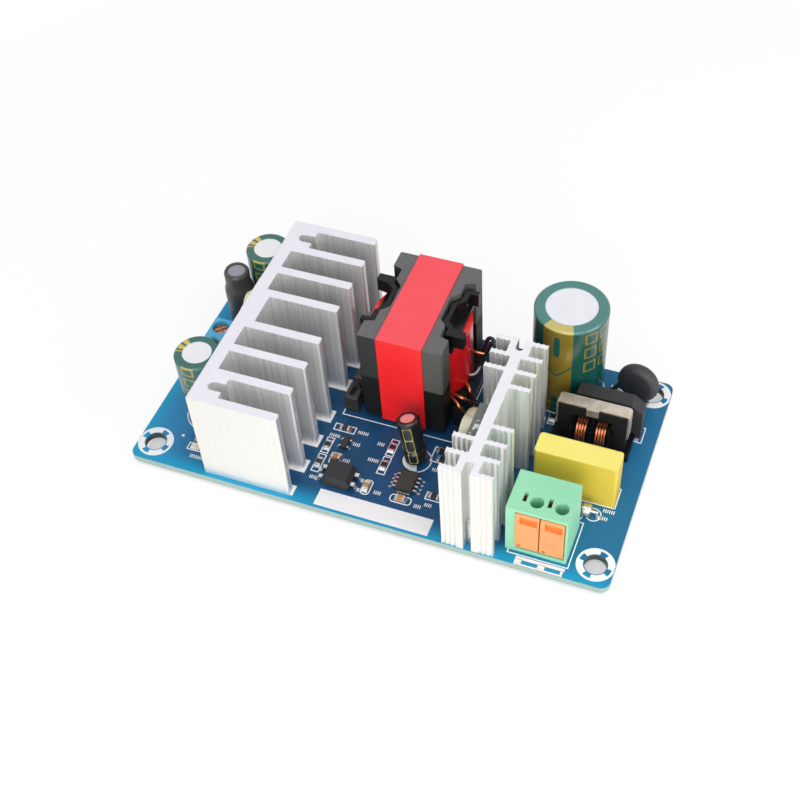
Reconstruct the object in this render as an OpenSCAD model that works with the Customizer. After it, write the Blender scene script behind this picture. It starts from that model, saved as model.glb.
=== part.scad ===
// Open-frame mains power supply module: a drilled board that carries two aluminium
// extrusions, a taped transformer, capacitors, a choke and two wire terminals.
// The origin is the centre of the four mounting holes, on the underside of the board.
// X runs along the board to the mains side, Y runs to the back and Z is up.

/* [Board] */
// Bay from the left edge of the board to the output heatsink
left_bay = 18.1; // [17.5:0.1:24]
// Aisle from the output heatsink to the transformer
left_aisle = 4.45; // [4.2:0.05:8]
// Aisle from the transformer to the input heatsink
right_aisle = 5.85; // [5.6:0.05:9]
// Bay from the input heatsink to the right edge of the board
right_bay = 23.8; // [23.4:0.1:30]
// Aisle from the input heatsink to the bulk capacitor
bulk_aisle = 3.9; // [2.8:0.1:6]
// Margin from the front edge of the board to the input heatsink
front_margin = 0.1; // [0:0.1:2]
// Thickness of the board
board_t = 1.6; // [1.2:0.1:2.4]
// Corner radius of the board
board_corner_r = 2; // [0.5:0.1:3]
// Diameter of the four mounting holes
hole_d = 4.6; // [3:0.1:5]
// Distance of the hole centres from the short edges
hole_inset_x = 3.9; // [3.5:0.1:5]
// Distance of the front hole centres from the front edge
hole_inset_front = 5.1; // [4:0.1:6]
// Distance of the back hole centres from the back edge
hole_inset_back = 4.1; // [3.5:0.1:6]
// Length of the solder tails under the board
tail_h = 1.6; // [1:0.1:3]

/* [Output heatsink] */
// Height of the output heatsink
out_sink_h = 24.5; // [24:0.5:30]
// Width of the output heatsink, spine and fins
out_sink_w = 19.9; // [17:0.1:20.5]
// Thickness of the output heatsink spine
out_spine_t = 2.9; // [2.5:0.1:3.2]
// Thickness of an output fin
out_fin_t = 2; // [1.4:0.1:2.6]
// Distance between the two middle fins
out_middle_pitch = 9.6; // [9:0.1:9.6]
// Extra spine thickness between the two middle fins
out_pad_t = 1.4; // [0.5:0.1:2.5]
// Corner radius of the fin tips
out_tip_r = 0.5; // [0.2:0.1:0.6]
// Depth of the pin slots past the fin roots
out_boss_t = 3.4; // [3:0.1:5]
// Radius of the solder pins of the output heatsink
out_pin_r = 1.05; // [0.8:0.05:1.15]

/* [Input heatsink] */
// Height of the input heatsink
in_sink_h = 25.3; // [25:0.1:30]
// Length of the input heatsink along Y
in_sink_l = 36.4; // [36.4:0.2:38]
// Thickness of the input heatsink spine
in_spine_t = 2.3; // [2:0.1:2.6]
// Reach of a fin from the spine
in_fin_reach = 4.3; // [3:0.1:4.4]
// Thickness of an input fin
in_fin_t = 1.3; // [1:0.1:1.6]
// Distance from one input fin to the next
in_fin_pitch = 4.05; // [3.6:0.05:4.05]
// Height of the ripples on the fin faces
in_ripple = 0.25; // [0.1:0.05:0.3]
// Ripples on each fin face
in_ripples = 4; // [3:1:5]
// Radius of the solder pins of the input heatsink
in_pin_r = 0.8; // [0.6:0.05:0.9]

/* [Power devices] */
// Width of a power device
device_w = 10.2; // [9:0.1:10.6]
// Thickness of a device body
device_t = 4.5; // [4:0.1:4.7]
// Height of a device from the lead shoulders to the tab end
device_h = 15.8; // [15:0.1:16]
// Thickness of the tab
device_tab_t = 1.3; // [1:0.1:1.5]
// Distance from the board to the device
device_lift = 6.6; // [5.5:0.1:7]
// Pitch of the device leads
device_pitch = 2.54; // [2.2:0.02:3]
// Radius of the device screws
screw_r = 1.5; // [1.2:0.1:1.6]

/* [Transformer] */
// Length of the ferrite core along Y
core_l = 26; // [25:0.2:26.4]
// Width of the ferrite core along X
core_w = 18.6; // [18:0.2:19]
// Height of the two core halves together
core_h = 24.6; // [22:0.2:28]
// Thickness of the core plates
core_plate_t = 4.3; // [3.5:0.1:5]
// Radius of the centre post
core_post_r = 6; // [5:0.1:6.4]
// Radius of the winding window
core_window_r = 11.2; // [10.8:0.1:11.4]
// Clearance under the core for the tape
core_lift = 1.8; // [1.2:0.1:3]
// Width of the tape round the core
tape_w = 10; // [6:0.5:10.4]
// Thickness of the tape
tape_t = 0.3; // [0.1:0.05:0.5]
// Wall of the bobbin tube and its flanges
bobbin_t = 0.9; // [0.7:0.1:1.2]
// Distance between the two pin rows
trafo_row = 21.6; // [21.4:0.2:22.4]

/* [Capacitors] */
// Diameter of the bulk capacitor
bulk_d = 15.8; // [14:0.1:15.8]
// Height of the bulk capacitor
bulk_h = 25.6; // [22:0.1:32]
// Diameter of the two output capacitors
outcap_d = 10; // [8:0.1:10]
// Height of the two output capacitors
outcap_h = 20; // [16:0.5:25]
// Diameter of the small bias capacitor
bias_d = 5; // [4:0.1:5.2]
// Height of the small bias capacitor
bias_h = 11; // [9:0.5:12]
// Lean of the small bias capacitor
bias_lean = 15; // [0:1:18]
// Thickness of the capacitor sleeves
sleeve_t = 0.15; // [0.1:0.05:0.25]
// Length of the X capacitor
xcap_l = 17.5; // [15:0.5:17.5]
// Thickness of the X capacitor
xcap_t = 5.1; // [4:0.1:5.4]
// Height of the X capacitor
xcap_h = 12.4; // [9:0.1:15]
// Diameter of the ceramic capacitor
ceramic_d = 8.6; // [6:0.1:9]

/* [Choke] */
// Length of the choke core along X
choke_l = 14.7; // [14:0.1:15]
// Height of the choke core
choke_h = 9.8; // [9.6:0.1:11]
// Thickness of the choke core along Y
choke_t = 2.9; // [2.5:0.1:3]
// Thickness of the choke core limbs
choke_limb = 2.7; // [2.4:0.1:2.8]
// Lift of the choke core over the board
choke_lift = 2.1; // [1.9:0.1:2.6]
// Radius of the choke windings
choke_coil_r = 3.1; // [2.9:0.05:3.15]
// Thickness of the steel clip
clip_t = 0.4; // [0.3:0.05:0.6]

/* [Other parts] */
// Length of the bridge rectifier
bridge_l = 14.4; // [13:0.1:14.4]
// Thickness of the bridge rectifier
bridge_t = 3.3; // [2.8:0.1:3.4]
// Height of the bridge rectifier body
bridge_h = 9.8; // [8:0.1:12]
// Diameter of the thermistor disc
ntc_d = 9.4; // [7:0.1:9.6]
// Backward lean of the thermistor
ntc_lean = 5; // [0:1:20]
// Diameter of the fuse body
fuse_d = 2.8; // [2:0.1:3.2]
// Length of the fuse body
fuse_l = 8; // [6:0.5:8.5]
// Diameter of the output inductor
coil_d = 6.7; // [5:0.1:6.8]
// Height of the output inductor
coil_h = 18.1; // [14:0.1:20]

/* [Terminals] */
// Pitch of both terminals
pole_pitch = 5.08; // [5:0.02:5.08]
// Length of the input terminal along X
spring_l = 12.7; // [12.4:0.1:13.2]
// Depth of the input terminal along Y
spring_w = 9.8; // [9.6:0.1:10.6]
// Height of the input terminal
spring_h = 14; // [14:0.1:16]
// Diameter of the wire holes of the input terminal
wire_hole_d = 2.8; // [2:0.1:2.8]
// Length of the output terminal along Y
clamp_l = 10.3; // [10.2:0.1:11]
// Depth of the output terminal along X
clamp_w = 7.8; // [7.6:0.1:8.2]
// Height of the output terminal
clamp_h = 10; // [10:0.1:12]
// Height that the wire clamps rise
clamp_rise = 1.4; // [0.5:0.1:1.4]

/* [Hidden] */
$fn = 48;

// Clearances
gap = 0.3;
device_gap = 0.4;
fit_gap = 0.05;
drill_gap = 0.12;
eps = 0.01;

// Board edges and hole pattern: the board is as long and wide as what it carries
rail_w = 2.4;
trafo_span = trafo_row + rail_w;
in_sink_w = in_spine_t + 2 * in_fin_reach;
board_l = left_bay + out_sink_w + left_aisle + trafo_span + right_aisle + in_sink_w + right_bay;
board_w = front_margin + in_sink_l + bulk_aisle + bulk_d;
hole_pitch_x = board_l - 2 * hole_inset_x;
hole_pitch_y = board_w - hole_inset_front - hole_inset_back;
board_left = -board_l / 2;
board_right = board_l / 2;
board_front = -hole_pitch_y / 2 - hole_inset_front;
board_back = hole_pitch_y / 2 + hole_inset_back;
hole_r = hole_d / 2;
solder_r = 1;

// Places of the parts, each from the piece or the board edge that it is lined up with
out_sink_x = board_left + left_bay;
out_sink_right = out_sink_x + out_sink_w;
out_front_margin = 1.05;
out_back_margin = 0.05;
out_sink_y = (board_front + out_front_margin + board_back - out_back_margin) / 2;
in_sink_x = board_right - right_bay - in_sink_w / 2;
in_sink_left = in_sink_x - in_sink_w / 2;
bay_x = in_sink_x + in_sink_w / 2;
in_sink_y = board_front + front_margin + in_sink_l / 2;
rectifier_y = out_sink_y + 5.5;
transistor_y = in_sink_y - in_sink_l / 2 + 2 * in_fin_pitch + in_fin_t + device_gap + device_w / 2;
trafo_x = out_sink_right + left_aisle + trafo_span / 2;
trafo_y = board_back - 17.1;
trafo_front = trafo_y - core_l / 2;
bulk_x = bay_x + 1.4;
bulk_y = board_back - bulk_d / 2;
front_cap_x = out_sink_x - 1 - outcap_d / 2;
front_cap_y = board_front + 16.4;
back_cap_x = out_sink_x - outcap_d / 2;
back_cap_y = board_back - 0.8 - outcap_d / 2;
bias_x = trafo_x + 5.65;
bias_y = trafo_front - 7.6;
xcap_x = bay_x + 2.3 + xcap_l / 2;
xcap_y = board_front + 22.1;
choke_x = bay_x + 3.4 + choke_l / 2;
choke_y = board_back - 21.1;
bridge_x = bulk_x + 4.55 + bridge_l / 2;
ntc_x = bulk_x + bulk_d / 2 + 7.5;
ntc_y = board_back - 6.5;
fuse_x = bay_x + 11.8;
fuse_y = board_front + 16.3;
spring_x = bay_x + 1.6 + spring_l / 2;
spring_y = board_front + 8.1;
clamp_x = out_sink_x - 9.1;
clamp_y = board_front + 30.15;
coil_x = out_sink_x - 9.9;
coil_y = board_back - 12.9;
ceramic_x = in_sink_left - 2.2;
ceramic_y = trafo_front - 0.5;
opto_x = out_sink_right + 8.4;
opto_y = trafo_front - 17.9;
chip_x = trafo_x + 5.95;
chip_y = trafo_front - 14.4;
regulator_x = out_sink_right + 5.9;
regulator_y = trafo_front - 8.6;
led_x = out_sink_x - 5.1;
led_y = board_front + 6.4;

// Output heatsink
out_sink_l = board_w - out_front_margin - out_back_margin;
out_fin_pitch = (out_sink_l - out_middle_pitch - out_fin_t) / 6;
out_fin_y = [for (side = [-1, 1]) for (k = [0:3]) side * (out_middle_pitch / 2 + k * out_fin_pitch)];
out_slot_y = out_middle_pitch / 2 + 2.5 * out_fin_pitch;
out_slot_x = out_spine_t + out_pin_r;
sink_top = board_t + out_sink_h;

// Input heatsink
in_fin_rows = 4;
in_slot_w = 2 * (in_pin_r + fit_gap);
in_slot_l = 3.2;
in_boss_w = 2 * in_spine_t;
in_boss_l = in_slot_l + 1.6;
in_root = in_spine_t / 4;
in_tap_depth = in_spine_t;

// Power devices
device_z = board_t + device_lift;
device_body_h = 9;
device_screw_z = device_z + device_h - 2.9;
device_foot_x = 2.7;
device_lead_w = 0.8;
device_lead_t = 0.5;
device_neck_t = 2.6;
screw_head_r = 1.9 * screw_r;
screw_head_h = 2;
low_head_r = 1.4 * screw_r;
low_head_h = 0.6;
bush_r = 1.7 * screw_r;
bush_t = 0.6;

// Transformer
core_z = board_t + core_lift;
core_half_h = core_h / 2;
core_bevel = 0.3;
core_mouth = 7.75;
core_notch_x = [core_w / 2 - 2.1, core_w / 2 - 3.7];
core_notch_y = [8.6, 8, 4.8, 3.2];
window_z0 = core_z + core_plate_t;
window_z1 = core_z + core_h - core_plate_t;
bobbin_r = core_post_r + gap + bobbin_t;
winding_r = core_window_r - gap;
rail_l = 18;
trafo_pins_y = [for (k = [-2:2]) k * 3.8];
trafo_pin_r = 0.35;
hook_h = core_plate_t - 1;
lead_wire_r = 0.35;

// Capacitors
bung_t = 1.2;
bead_z = 2.6;
bead_h = 1.1;
bulk_pitch = 7.5;
outcap_pitch = 5;
bias_pitch = 2;
bias_lift = 0.8 * bias_d / 2 * sin(bias_lean) + 0.05;
xcap_corner_r = 0.7;
xcap_pitch = xcap_l - 2.5;
ceramic_t = 3.2;
ceramic_pitch = 5;
ceramic_leg_r = 0.7;
ceramic_z = board_t + 2.5 + ceramic_d / 2;
wire_r = 0.3;

// Choke
choke_z = board_t + choke_lift;
choke_axis_z = choke_z + choke_limb / 2;
choke_tube_t = 0.5;
choke_flange_t = 0.7;
choke_inner_l = choke_l - 2 * choke_limb;
choke_flange_r = choke_coil_r + 0.1;
choke_coil_l = (choke_inner_l - 3 * choke_flange_t) / 2 - 2 * fit_gap;
choke_coil_x = choke_flange_t / 2 + fit_gap + choke_coil_l / 2;
choke_foot_l = 1.2;
choke_pin_x = choke_l / 2 + 0.4;
choke_pin_y = 2;

clip_tab_w = 2.6;
clip_tab_h = 1.6;

// Bridge rectifier, thermistor, fuse and inductor
bridge_y = choke_y + choke_flange_r + 0.15 + bridge_t / 2;
bridge_lift = 0.8;
bridge_chamfer = 2.6;
bridge_pitch = 3.6;
ntc_t = 3.2;
ntc_z = board_t + ntc_d / 2 + 0.8;
ntc_turn = -12;
ntc_leg_x = 2.4;
ntc_leg_r = 0.7;
fuse_z = board_t + fuse_d / 2 + 0.2;
fuse_pitch = fuse_l + 2.4;
coil_core_r = 0.3 * coil_d;
coil_neck_r = 0.43 * coil_d;
coil_pitch = 3;

// Input terminal
spring_wall = 1.2;
spring_front = spring_y - spring_w / 2;
spring_back = spring_y + spring_w / 2;
spring_top = board_t + spring_h;
pole_x = spring_x + 0.78;
wire_hole_x = 0.87;
wire_hole_y = spring_front + 3;
test_slot_x = -1.63;
lever_w = pole_pitch - 0.25;
lever_proud = 0.7;
lever_t = 1.1;
lever_front = spring_front - lever_proud;
lever_top = spring_top - 0.9;
lever_axle_y = spring_front + 0.75;
lever_axle_z = board_t + 2.8;
lever_axle_r = 0.6;
lever_boss_r = 1.3;
lever_swing = 4;
lever_room_y = lever_front + lever_t + (lever_top - lever_axle_z) * sin(lever_swing) + 0.15;
cavity_h = 6;
wire_hole_z = board_t + cavity_h - eps;
cavity_w = pole_pitch - 1;
cavity_y0 = lever_axle_y + lever_boss_r + 0.9;
cavity_y1 = spring_back - spring_wall;
strip_t = 0.6;
strip_w = 2.4;
strip_foot_w = 0.8;

// Output terminal
clamp_wall = 1;
clamp_left = clamp_x - clamp_w / 2;
clamp_top = board_t + clamp_h;
cage_gap = 0.15;
cage_w = pole_pitch - 1.2;
cage_l = 3.6;
cage_h = 5;
cage_t = 0.8;
cage_x = clamp_left + clamp_wall + cage_gap + cage_l / 2;
cage_z = board_t + 0.4;
cage_room_top = cage_z + cage_h + clamp_rise + cage_gap;
seat_t = 0.4;
post_r = 1.1;
post_head_r = 1.75;
post_head_z = cage_room_top + seat_t;
post_sink = 0.9;
post_head_h = clamp_top - post_sink - post_head_z;
post_cross_w = 0.7;
post_cross_depth = 0.7;
post_foot_z = cage_z + cage_h - cage_t - 0.05;
contact_t = 0.6;
contact_w = 1.9;
contact_z = post_foot_z - 0.15 - contact_t;
contact_x = cage_x + cage_l / 2 + gap;
entry_r = 1.3;
entry_z = cage_z + cage_t + 1.4;

// Small surface parts: place and turn of each
chip_l = 2;
chip_w = 1.25;
resistor_h = 0.6;
opto_l = 6.4;
opto_w = 4.6;
opto_h = 3.2;
soic_l = 3.9;
soic_w = 4.7;
soic_h = 1.5;
sot_l = 1.5;
sot_w = 2.9;
sot_h = 1;
ceramic_chip_h = 1;
resistor_places = [
    [out_sink_right + 4.2, trafo_front - 4.5, 0], [out_sink_right + 2.3, trafo_front - 9.95, 90],
    [out_sink_right + 2.3, trafo_front - 14.9, 90], [trafo_x - 0.45, trafo_front - 6.3, 90],
    [trafo_x - 0.5, trafo_front - 11.25, 90], [trafo_x + 10.1, trafo_front - 3.9, 0],
    [trafo_x + 10.9, trafo_front - 6, 0], [trafo_x + 12.5, trafo_front - 15.7, 0],
    [bay_x + 0.95, choke_y + 3.9, 90]
];
ceramic_places = [
    [out_sink_right + 5.4, trafo_front - 12.7, 0], [trafo_x - 1.95, trafo_front - 17.8, 90],
    [trafo_x + 6, trafo_front - 18.55, 0]
];

// Pin places of every part that is soldered through the board: x, y and lead radius
function row(x, y, pitch, count, along_x, r) = [
    for (k = [0:count - 1])
        let (offset = (k - (count - 1) / 2) * pitch)
            along_x ? [x + offset, y, r] : [x, y + offset, r]
];
out_pin_places = [for (s = [-1, 1]) [out_sink_x + out_slot_x, out_sink_y + s * out_slot_y, out_pin_r]];
in_pin_places = [
    for (s = [-1, 1]) [in_sink_x, in_sink_y + s * (in_sink_l / 2 - in_slot_l + in_pin_r), in_pin_r]
];
rectifier_places = row(out_sink_x - device_foot_x, rectifier_y, device_pitch, 3, false, 0.5);
transistor_places = row(
    in_sink_x - in_spine_t / 2 - device_foot_x, transistor_y, device_pitch, 3, false, 0.5);
trafo_places = [
    for (s = [-1, 1]) for (y = trafo_pins_y) [trafo_x + s * trafo_row / 2, trafo_y + y, trafo_pin_r]
];
bulk_places = row(bulk_x, bulk_y, bulk_pitch, 2, true, 0.4);
front_cap_places = row(front_cap_x, front_cap_y, outcap_pitch, 2, false, wire_r);
back_cap_places = row(back_cap_x, back_cap_y, outcap_pitch, 2, false, wire_r);
bias_places = row(bias_x, bias_y, bias_pitch, 2, true, 0.25);
xcap_places = row(xcap_x, xcap_y, xcap_pitch, 2, true, 0.4);
ceramic_cap_places = row(ceramic_x, ceramic_y, ceramic_pitch, 2, false, wire_r);
bridge_places = row(bridge_x, bridge_y, bridge_pitch, 4, true, 0.45);
ntc_places = [[ntc_x - 5.8, ntc_y + 1.4, 0.4], [ntc_x + 2.4, ntc_y - 0.6, 0.4]];
fuse_places = row(fuse_x, fuse_y, fuse_pitch, 2, true, wire_r);
coil_places = row(coil_x, coil_y, coil_pitch, 2, true, wire_r);
choke_places = [
    for (sx = [-1, 1]) for (sy = [-1, 1]) [choke_x + sx * choke_pin_x, choke_y + sy * choke_pin_y, 0.35]
];
spring_places = row(pole_x, cavity_y1 - strip_t / 2 - fit_gap, pole_pitch, 2, true, 0.5);
clamp_places = row(contact_x + contact_t / 2, clamp_y, pole_pitch, 2, false, 0.5);
all_places = concat(
    out_pin_places, in_pin_places, rectifier_places, transistor_places, trafo_places, bulk_places,
    front_cap_places, back_cap_places, bias_places, xcap_places, ceramic_cap_places, bridge_places,
    ntc_places, fuse_places, coil_places, choke_places, spring_places, clamp_places
);

// Shared shapes

// A flat plate with four round corners, centred on the origin
module rounded_square(l, w, r) {
    square([l - 2 * r, w], center = true);
    square([l, w - 2 * r], center = true);
    for (x = [-1, 1], y = [-1, 1])
        translate([x * (l / 2 - r), y * (w / 2 - r)]) circle(r = r);
}

// A straight lead from the underside of the board up to a height
module lead(place, top) {
    translate([place[0], place[1], 0]) cylinder(h = top, r = place[2], $fn = 8);
}

// A round bar between two points
module bar(a, b, r) {
    d = b - a;
    translate(a) rotate([0, acos(d[2] / norm(d)), atan2(d[1], d[0])]) cylinder(h = norm(d), r = r);
}

// A wire of round bars with round elbows
module wire(points, r) {
    for (i = [0:len(points) - 2]) bar(points[i], points[i + 1], r);
    for (i = [1:len(points) - 2]) translate(points[i]) sphere(r = 1.08 * r);
}

// A box given by its lower corner and its size, centred across Y
module block(x, w, z, size_x, size_z) {
    translate([x, -w / 2, z]) cube([size_x, w, size_z]);
}

// Board and solder

module circuit_board() {
    color("#1f5f96") difference() {
        translate([0, (board_front + board_back) / 2, 0])
            linear_extrude(board_t) rounded_square(board_l, board_w, board_corner_r);
        for (x = [-1, 1], y = [-1, 1])
            translate([x * hole_pitch_x / 2, y * hole_pitch_y / 2, -eps])
                cylinder(h = board_t + 2 * eps, r = hole_r);
        for (p = all_places)
            translate([p[0], p[1], -eps]) cylinder(h = board_t + 2 * eps, r = p[2] + drill_gap);
    }
}

// A solder fillet that narrows to a clipped tail
module solder_joint(lead_r) {
    tail_r = lead_r + 0.1;
    pad_r = max(tail_r + 0.2, min(solder_r, tail_r + 0.45));
    rotate_extrude() polygon([
        [0, 0], [pad_r, 0], [pad_r - 0.1, -0.25], [tail_r, -tail_h * 0.7], [tail_r, -tail_h], [0, -tail_h]
    ]);
}

module solder_joints() {
    color("#c9ccd0") for (p = all_places) translate([p[0], p[1], 0]) solder_joint(p[2]);
}

// Heatsinks

module out_fin() {
    reach = out_sink_w;
    translate([0, -out_fin_t / 2]) square([reach - out_tip_r, out_fin_t]);
    translate([0, -out_fin_t / 2 + out_tip_r]) square([reach, out_fin_t - 2 * out_tip_r]);
    for (s = [-1, 1])
        translate([reach - out_tip_r, s * (out_fin_t / 2 - out_tip_r)]) circle(r = out_tip_r);
}

module out_profile() {
    slot_r = out_pin_r + fit_gap;
    boss_w = out_fin_pitch - out_fin_t + 2 * eps;
    difference() {
        union() {
            translate([0, -out_sink_l / 2]) square([out_spine_t, out_sink_l]);
            translate([0, -out_middle_pitch / 2]) square([out_spine_t + out_pad_t, out_middle_pitch]);
            for (y = out_fin_y) translate([0, y]) out_fin();
            for (s = [-1, 1])
                translate([0, s * out_slot_y - boss_w / 2]) square([out_spine_t + out_boss_t, boss_w]);
        }
        for (s = [-1, 1]) translate([out_slot_x, s * out_slot_y]) {
            circle(r = slot_r);
            translate([0, -slot_r]) square([out_sink_w, 2 * slot_r]);
        }
    }
}

module output_heatsink() {
    color("#d5d8dc") difference() {
        translate([out_sink_x, out_sink_y, board_t]) linear_extrude(out_sink_h) out_profile();
        translate([out_sink_x - eps, rectifier_y, device_screw_z]) rotate([0, 90, 0])
            cylinder(h = out_spine_t + out_pad_t + 3, r = screw_r + fit_gap);
    }
}

// Outline of one fin whose two faces are rippled along its reach
module in_fin() {
    step = in_fin_reach / in_ripples;
    near = [for (k = [0:2 * in_ripples]) [k * step / 2, -in_fin_t / 2 + (k % 2) * in_ripple]];
    far = [for (k = [2 * in_ripples:-1:0]) [k * step / 2, in_fin_t / 2 - (k % 2) * in_ripple]];
    polygon(concat([[-in_root, -in_fin_t / 2]], near, far, [[-in_root, in_fin_t / 2]]));
}

module in_profile() {
    edge = in_sink_l / 2;
    slot_y = edge - in_slot_l + in_pin_r;
    difference() {
        union() {
            square([in_spine_t, in_sink_l], center = true);
            for (s = [-1, 1]) {
                translate([-in_boss_w / 2, s * (edge - in_boss_l / 2) - in_boss_l / 2])
                    square([in_boss_w, in_boss_l]);
                for (k = [0:in_fin_rows - 1])
                    translate([in_spine_t / 2, s * (edge - in_fin_t / 2 - k * in_fin_pitch)]) in_fin();
                for (k = [0:in_fin_rows - 2])
                    translate([-in_spine_t / 2, s * (edge - in_fin_t / 2 - k * in_fin_pitch)])
                        rotate(180) in_fin();
            }
        }
        for (s = [-1, 1]) {
            translate([0, s * slot_y]) circle(r = in_slot_w / 2);
            translate([-in_slot_w / 2, s > 0 ? slot_y : -edge - 1]) square([in_slot_w, edge + 1 - slot_y]);
        }
    }
}

module input_heatsink() {
    color("#dcdfe2") difference() {
        translate([in_sink_x, in_sink_y, board_t]) linear_extrude(in_sink_h) in_profile();
        translate([in_sink_x - in_tap_depth, transistor_y, device_screw_z]) rotate([0, 90, 0])
            cylinder(h = 2 * in_tap_depth, r = screw_r + fit_gap);
    }
}

module heatsink_pins() {
    color("#c4c6c8") for (p = concat(out_pin_places, in_pin_places))
        translate([p[0], p[1], 0]) cylinder(h = board_t + 7, r = p[2]);
}

// Power devices: each lies flat on the left face of a heatsink spine

module device_leads(places) {
    for (p = places)
        translate([p[0] - device_lead_t / 2, p[1] - device_lead_w / 2, 0])
            cube([device_lead_t, device_lead_w, device_z]);
}

module rectifier_tab() {
    color("#b9bcc0") {
        difference() {
            translate([out_sink_x - device_tab_t, rectifier_y, device_z])
                block(0, device_w, 0, device_tab_t, device_h);
            translate([out_sink_x - device_tab_t - eps, rectifier_y, device_screw_z]) rotate([0, 90, 0])
                cylinder(h = device_tab_t + 2 * eps, r = screw_r + 0.3);
        }
        device_leads(rectifier_places);
    }
}

module rectifier_body() {
    color("#2a2b2d") translate([out_sink_x - device_t, rectifier_y, device_z])
        block(0, device_w, 0, device_t - device_tab_t, device_body_h);
}

module rectifier_bush() {
    color("#efe6cf") translate([out_sink_x - device_tab_t - bush_t, rectifier_y, device_screw_z])
        rotate([0, 90, 0]) difference() {
            cylinder(h = bush_t, r = bush_r);
            translate([0, 0, -eps]) cylinder(h = bush_t + 2 * eps, r = screw_r + fit_gap);
        }
}

module transistor_body() {
    face_x = in_sink_x - in_spine_t / 2;
    color("#3a3b3d") difference() {
        translate([face_x, transistor_y, device_z]) union() {
            block(-device_t, device_w, 0, device_t, device_body_h);
            block(-device_neck_t, device_w, 0, device_neck_t, device_h);
        }
        translate([face_x - device_neck_t - eps, transistor_y, device_screw_z]) rotate([0, 90, 0])
            cylinder(h = device_neck_t + 2 * eps, r = screw_r + fit_gap);
    }
}

module transistor_leads() {
    color("#c4c6c8") device_leads(transistor_places);
}

// A pan-head screw that enters along X, with its seat at x = 0
module pan_screw(length, head_r, head_h) {
    rotate([0, 90, 0]) {
        difference() {
            translate([0, 0, -head_h]) cylinder(h = head_h, r = head_r);
            for (a = [0, 90]) rotate([0, 0, a])
                translate([-head_r * 0.6, -0.3, -head_h - eps])
                    cube([head_r * 1.2, 0.6, head_h * 0.55]);
        }
        translate([0, 0, -eps]) cylinder(h = length + eps, r = screw_r);
    }
}

module device_screws() {
    color("#b4b6ba") {
        translate([out_sink_x - device_tab_t - bush_t, rectifier_y, device_screw_z])
            pan_screw(device_tab_t + bush_t + out_spine_t + out_pad_t, low_head_r, low_head_h);
        translate([in_sink_x - in_spine_t / 2 - device_neck_t, transistor_y, device_screw_z])
            pan_screw(device_neck_t + in_spine_t, screw_head_r, screw_head_h);
    }
}

// Transformer

module core_outline() {
    half = [
        [core_w / 2 - core_bevel, -core_l / 2], [core_w / 2, -core_l / 2 + core_bevel],
        [core_w / 2, -core_notch_y[0]], [core_notch_x[0], -core_notch_y[1]],
        [core_notch_x[0], -core_notch_y[2]], [core_notch_x[1], -core_notch_y[3]]
    ];
    right = concat(half, [for (i = [len(half) - 1:-1:0]) [half[i][0], -half[i][1]]]);
    polygon(concat(right, [for (i = [len(right) - 1:-1:0]) [-right[i][0], right[i][1]]]));
}

// One core half with its plate at z = 0, a round post and two curved outer walls
module core_half() {
    difference() {
        linear_extrude(core_half_h) core_outline();
        translate([0, 0, core_plate_t]) linear_extrude(core_half_h) difference() {
            union() {
                circle(r = core_window_r);
                square([core_w + 2, 2 * core_mouth], center = true);
            }
            circle(r = core_post_r);
        }
    }
}

module transformer_core_bottom() {
    color("#4a4b4d") translate([trafo_x, trafo_y, core_z]) core_half();
}

module transformer_core_top() {
    color("#5a5b5e") translate([trafo_x, trafo_y, core_z + core_h]) mirror([0, 0, 1]) core_half();
}

module transformer_tape() {
    outer_l = core_l + 2 * tape_t;
    outer_h = core_h + 2 * tape_t;
    color("#ee2a2e") translate([trafo_x - tape_w / 2, trafo_y, core_z + core_h / 2]) difference() {
        translate([0, -outer_l / 2, -outer_h / 2]) cube([tape_w, outer_l, outer_h]);
        translate([-eps, -core_l / 2, -core_h / 2]) cube([tape_w + 2 * eps, core_l, core_h]);
    }
}

// Raised guides on the upper flange, one set on each side of the core plate
module bobbin_hooks() {
    near = core_notch_x[1] + 0.4;
    far = core_notch_x[0] + 0.45;
    bend = core_notch_y[3] - 0.2;
    knee = core_notch_y[2] - 0.2;
    arm = core_notch_y[1] - 0.5;
    foot = core_notch_y[2] + 1.6;
    tip = core_w / 2 + 1.4;
    wall = 1.2;
    polygon([
        [tip, arm], [far, arm], [far, knee], [near, bend], [near, -bend], [far, -knee], [far, -foot],
        [tip + 1, -foot], [tip + 1, -foot + 1.8], [far + wall, 0.5 - knee], [near + wall, 0.5 - bend],
        [near + wall, bend - 0.5], [far + wall, knee - 0.5], [far + wall, arm - wall], [tip, arm - wall]
    ]);
}

module transformer_bobbin() {
    flange_x = [core_w + 2.8, core_w + 0.4];
    flange_z = [window_z0, window_z1 - bobbin_t];
    flange_y = 2 * (core_mouth - gap);
    rail_h = window_z0 - board_t;
    color("#1d1d1f") translate([trafo_x, trafo_y, 0]) difference() {
        union() {
            translate([0, 0, window_z0]) cylinder(h = window_z1 - window_z0, r = bobbin_r);
            for (k = [0, 1])
                translate([-flange_x[k] / 2, -flange_y / 2, flange_z[k]])
                    cube([flange_x[k], flange_y, bobbin_t]);
            for (s = [-1, 1]) {
                translate([s * trafo_row / 2 - rail_w / 2, -rail_l / 2, board_t])
                    cube([rail_w, rail_l, rail_h]);
                translate([s * trafo_row / 2 - rail_w / 2, -flange_y / 2, window_z0 - eps])
                    cube([rail_w, flange_y, bobbin_t + eps]);
            }
            translate([0, 0, window_z1 - eps]) linear_extrude(hook_h) {
                bobbin_hooks();
                rotate(180) bobbin_hooks();
            }
        }
        translate([0, 0, window_z0 - eps]) cylinder(h = core_h, r = core_post_r + gap);
        for (s = [-1, 1], y = trafo_pins_y)
            translate([s * trafo_row / 2, y, board_t - eps]) cylinder(h = 3, r = trafo_pin_r + fit_gap);
    }
}

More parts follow.
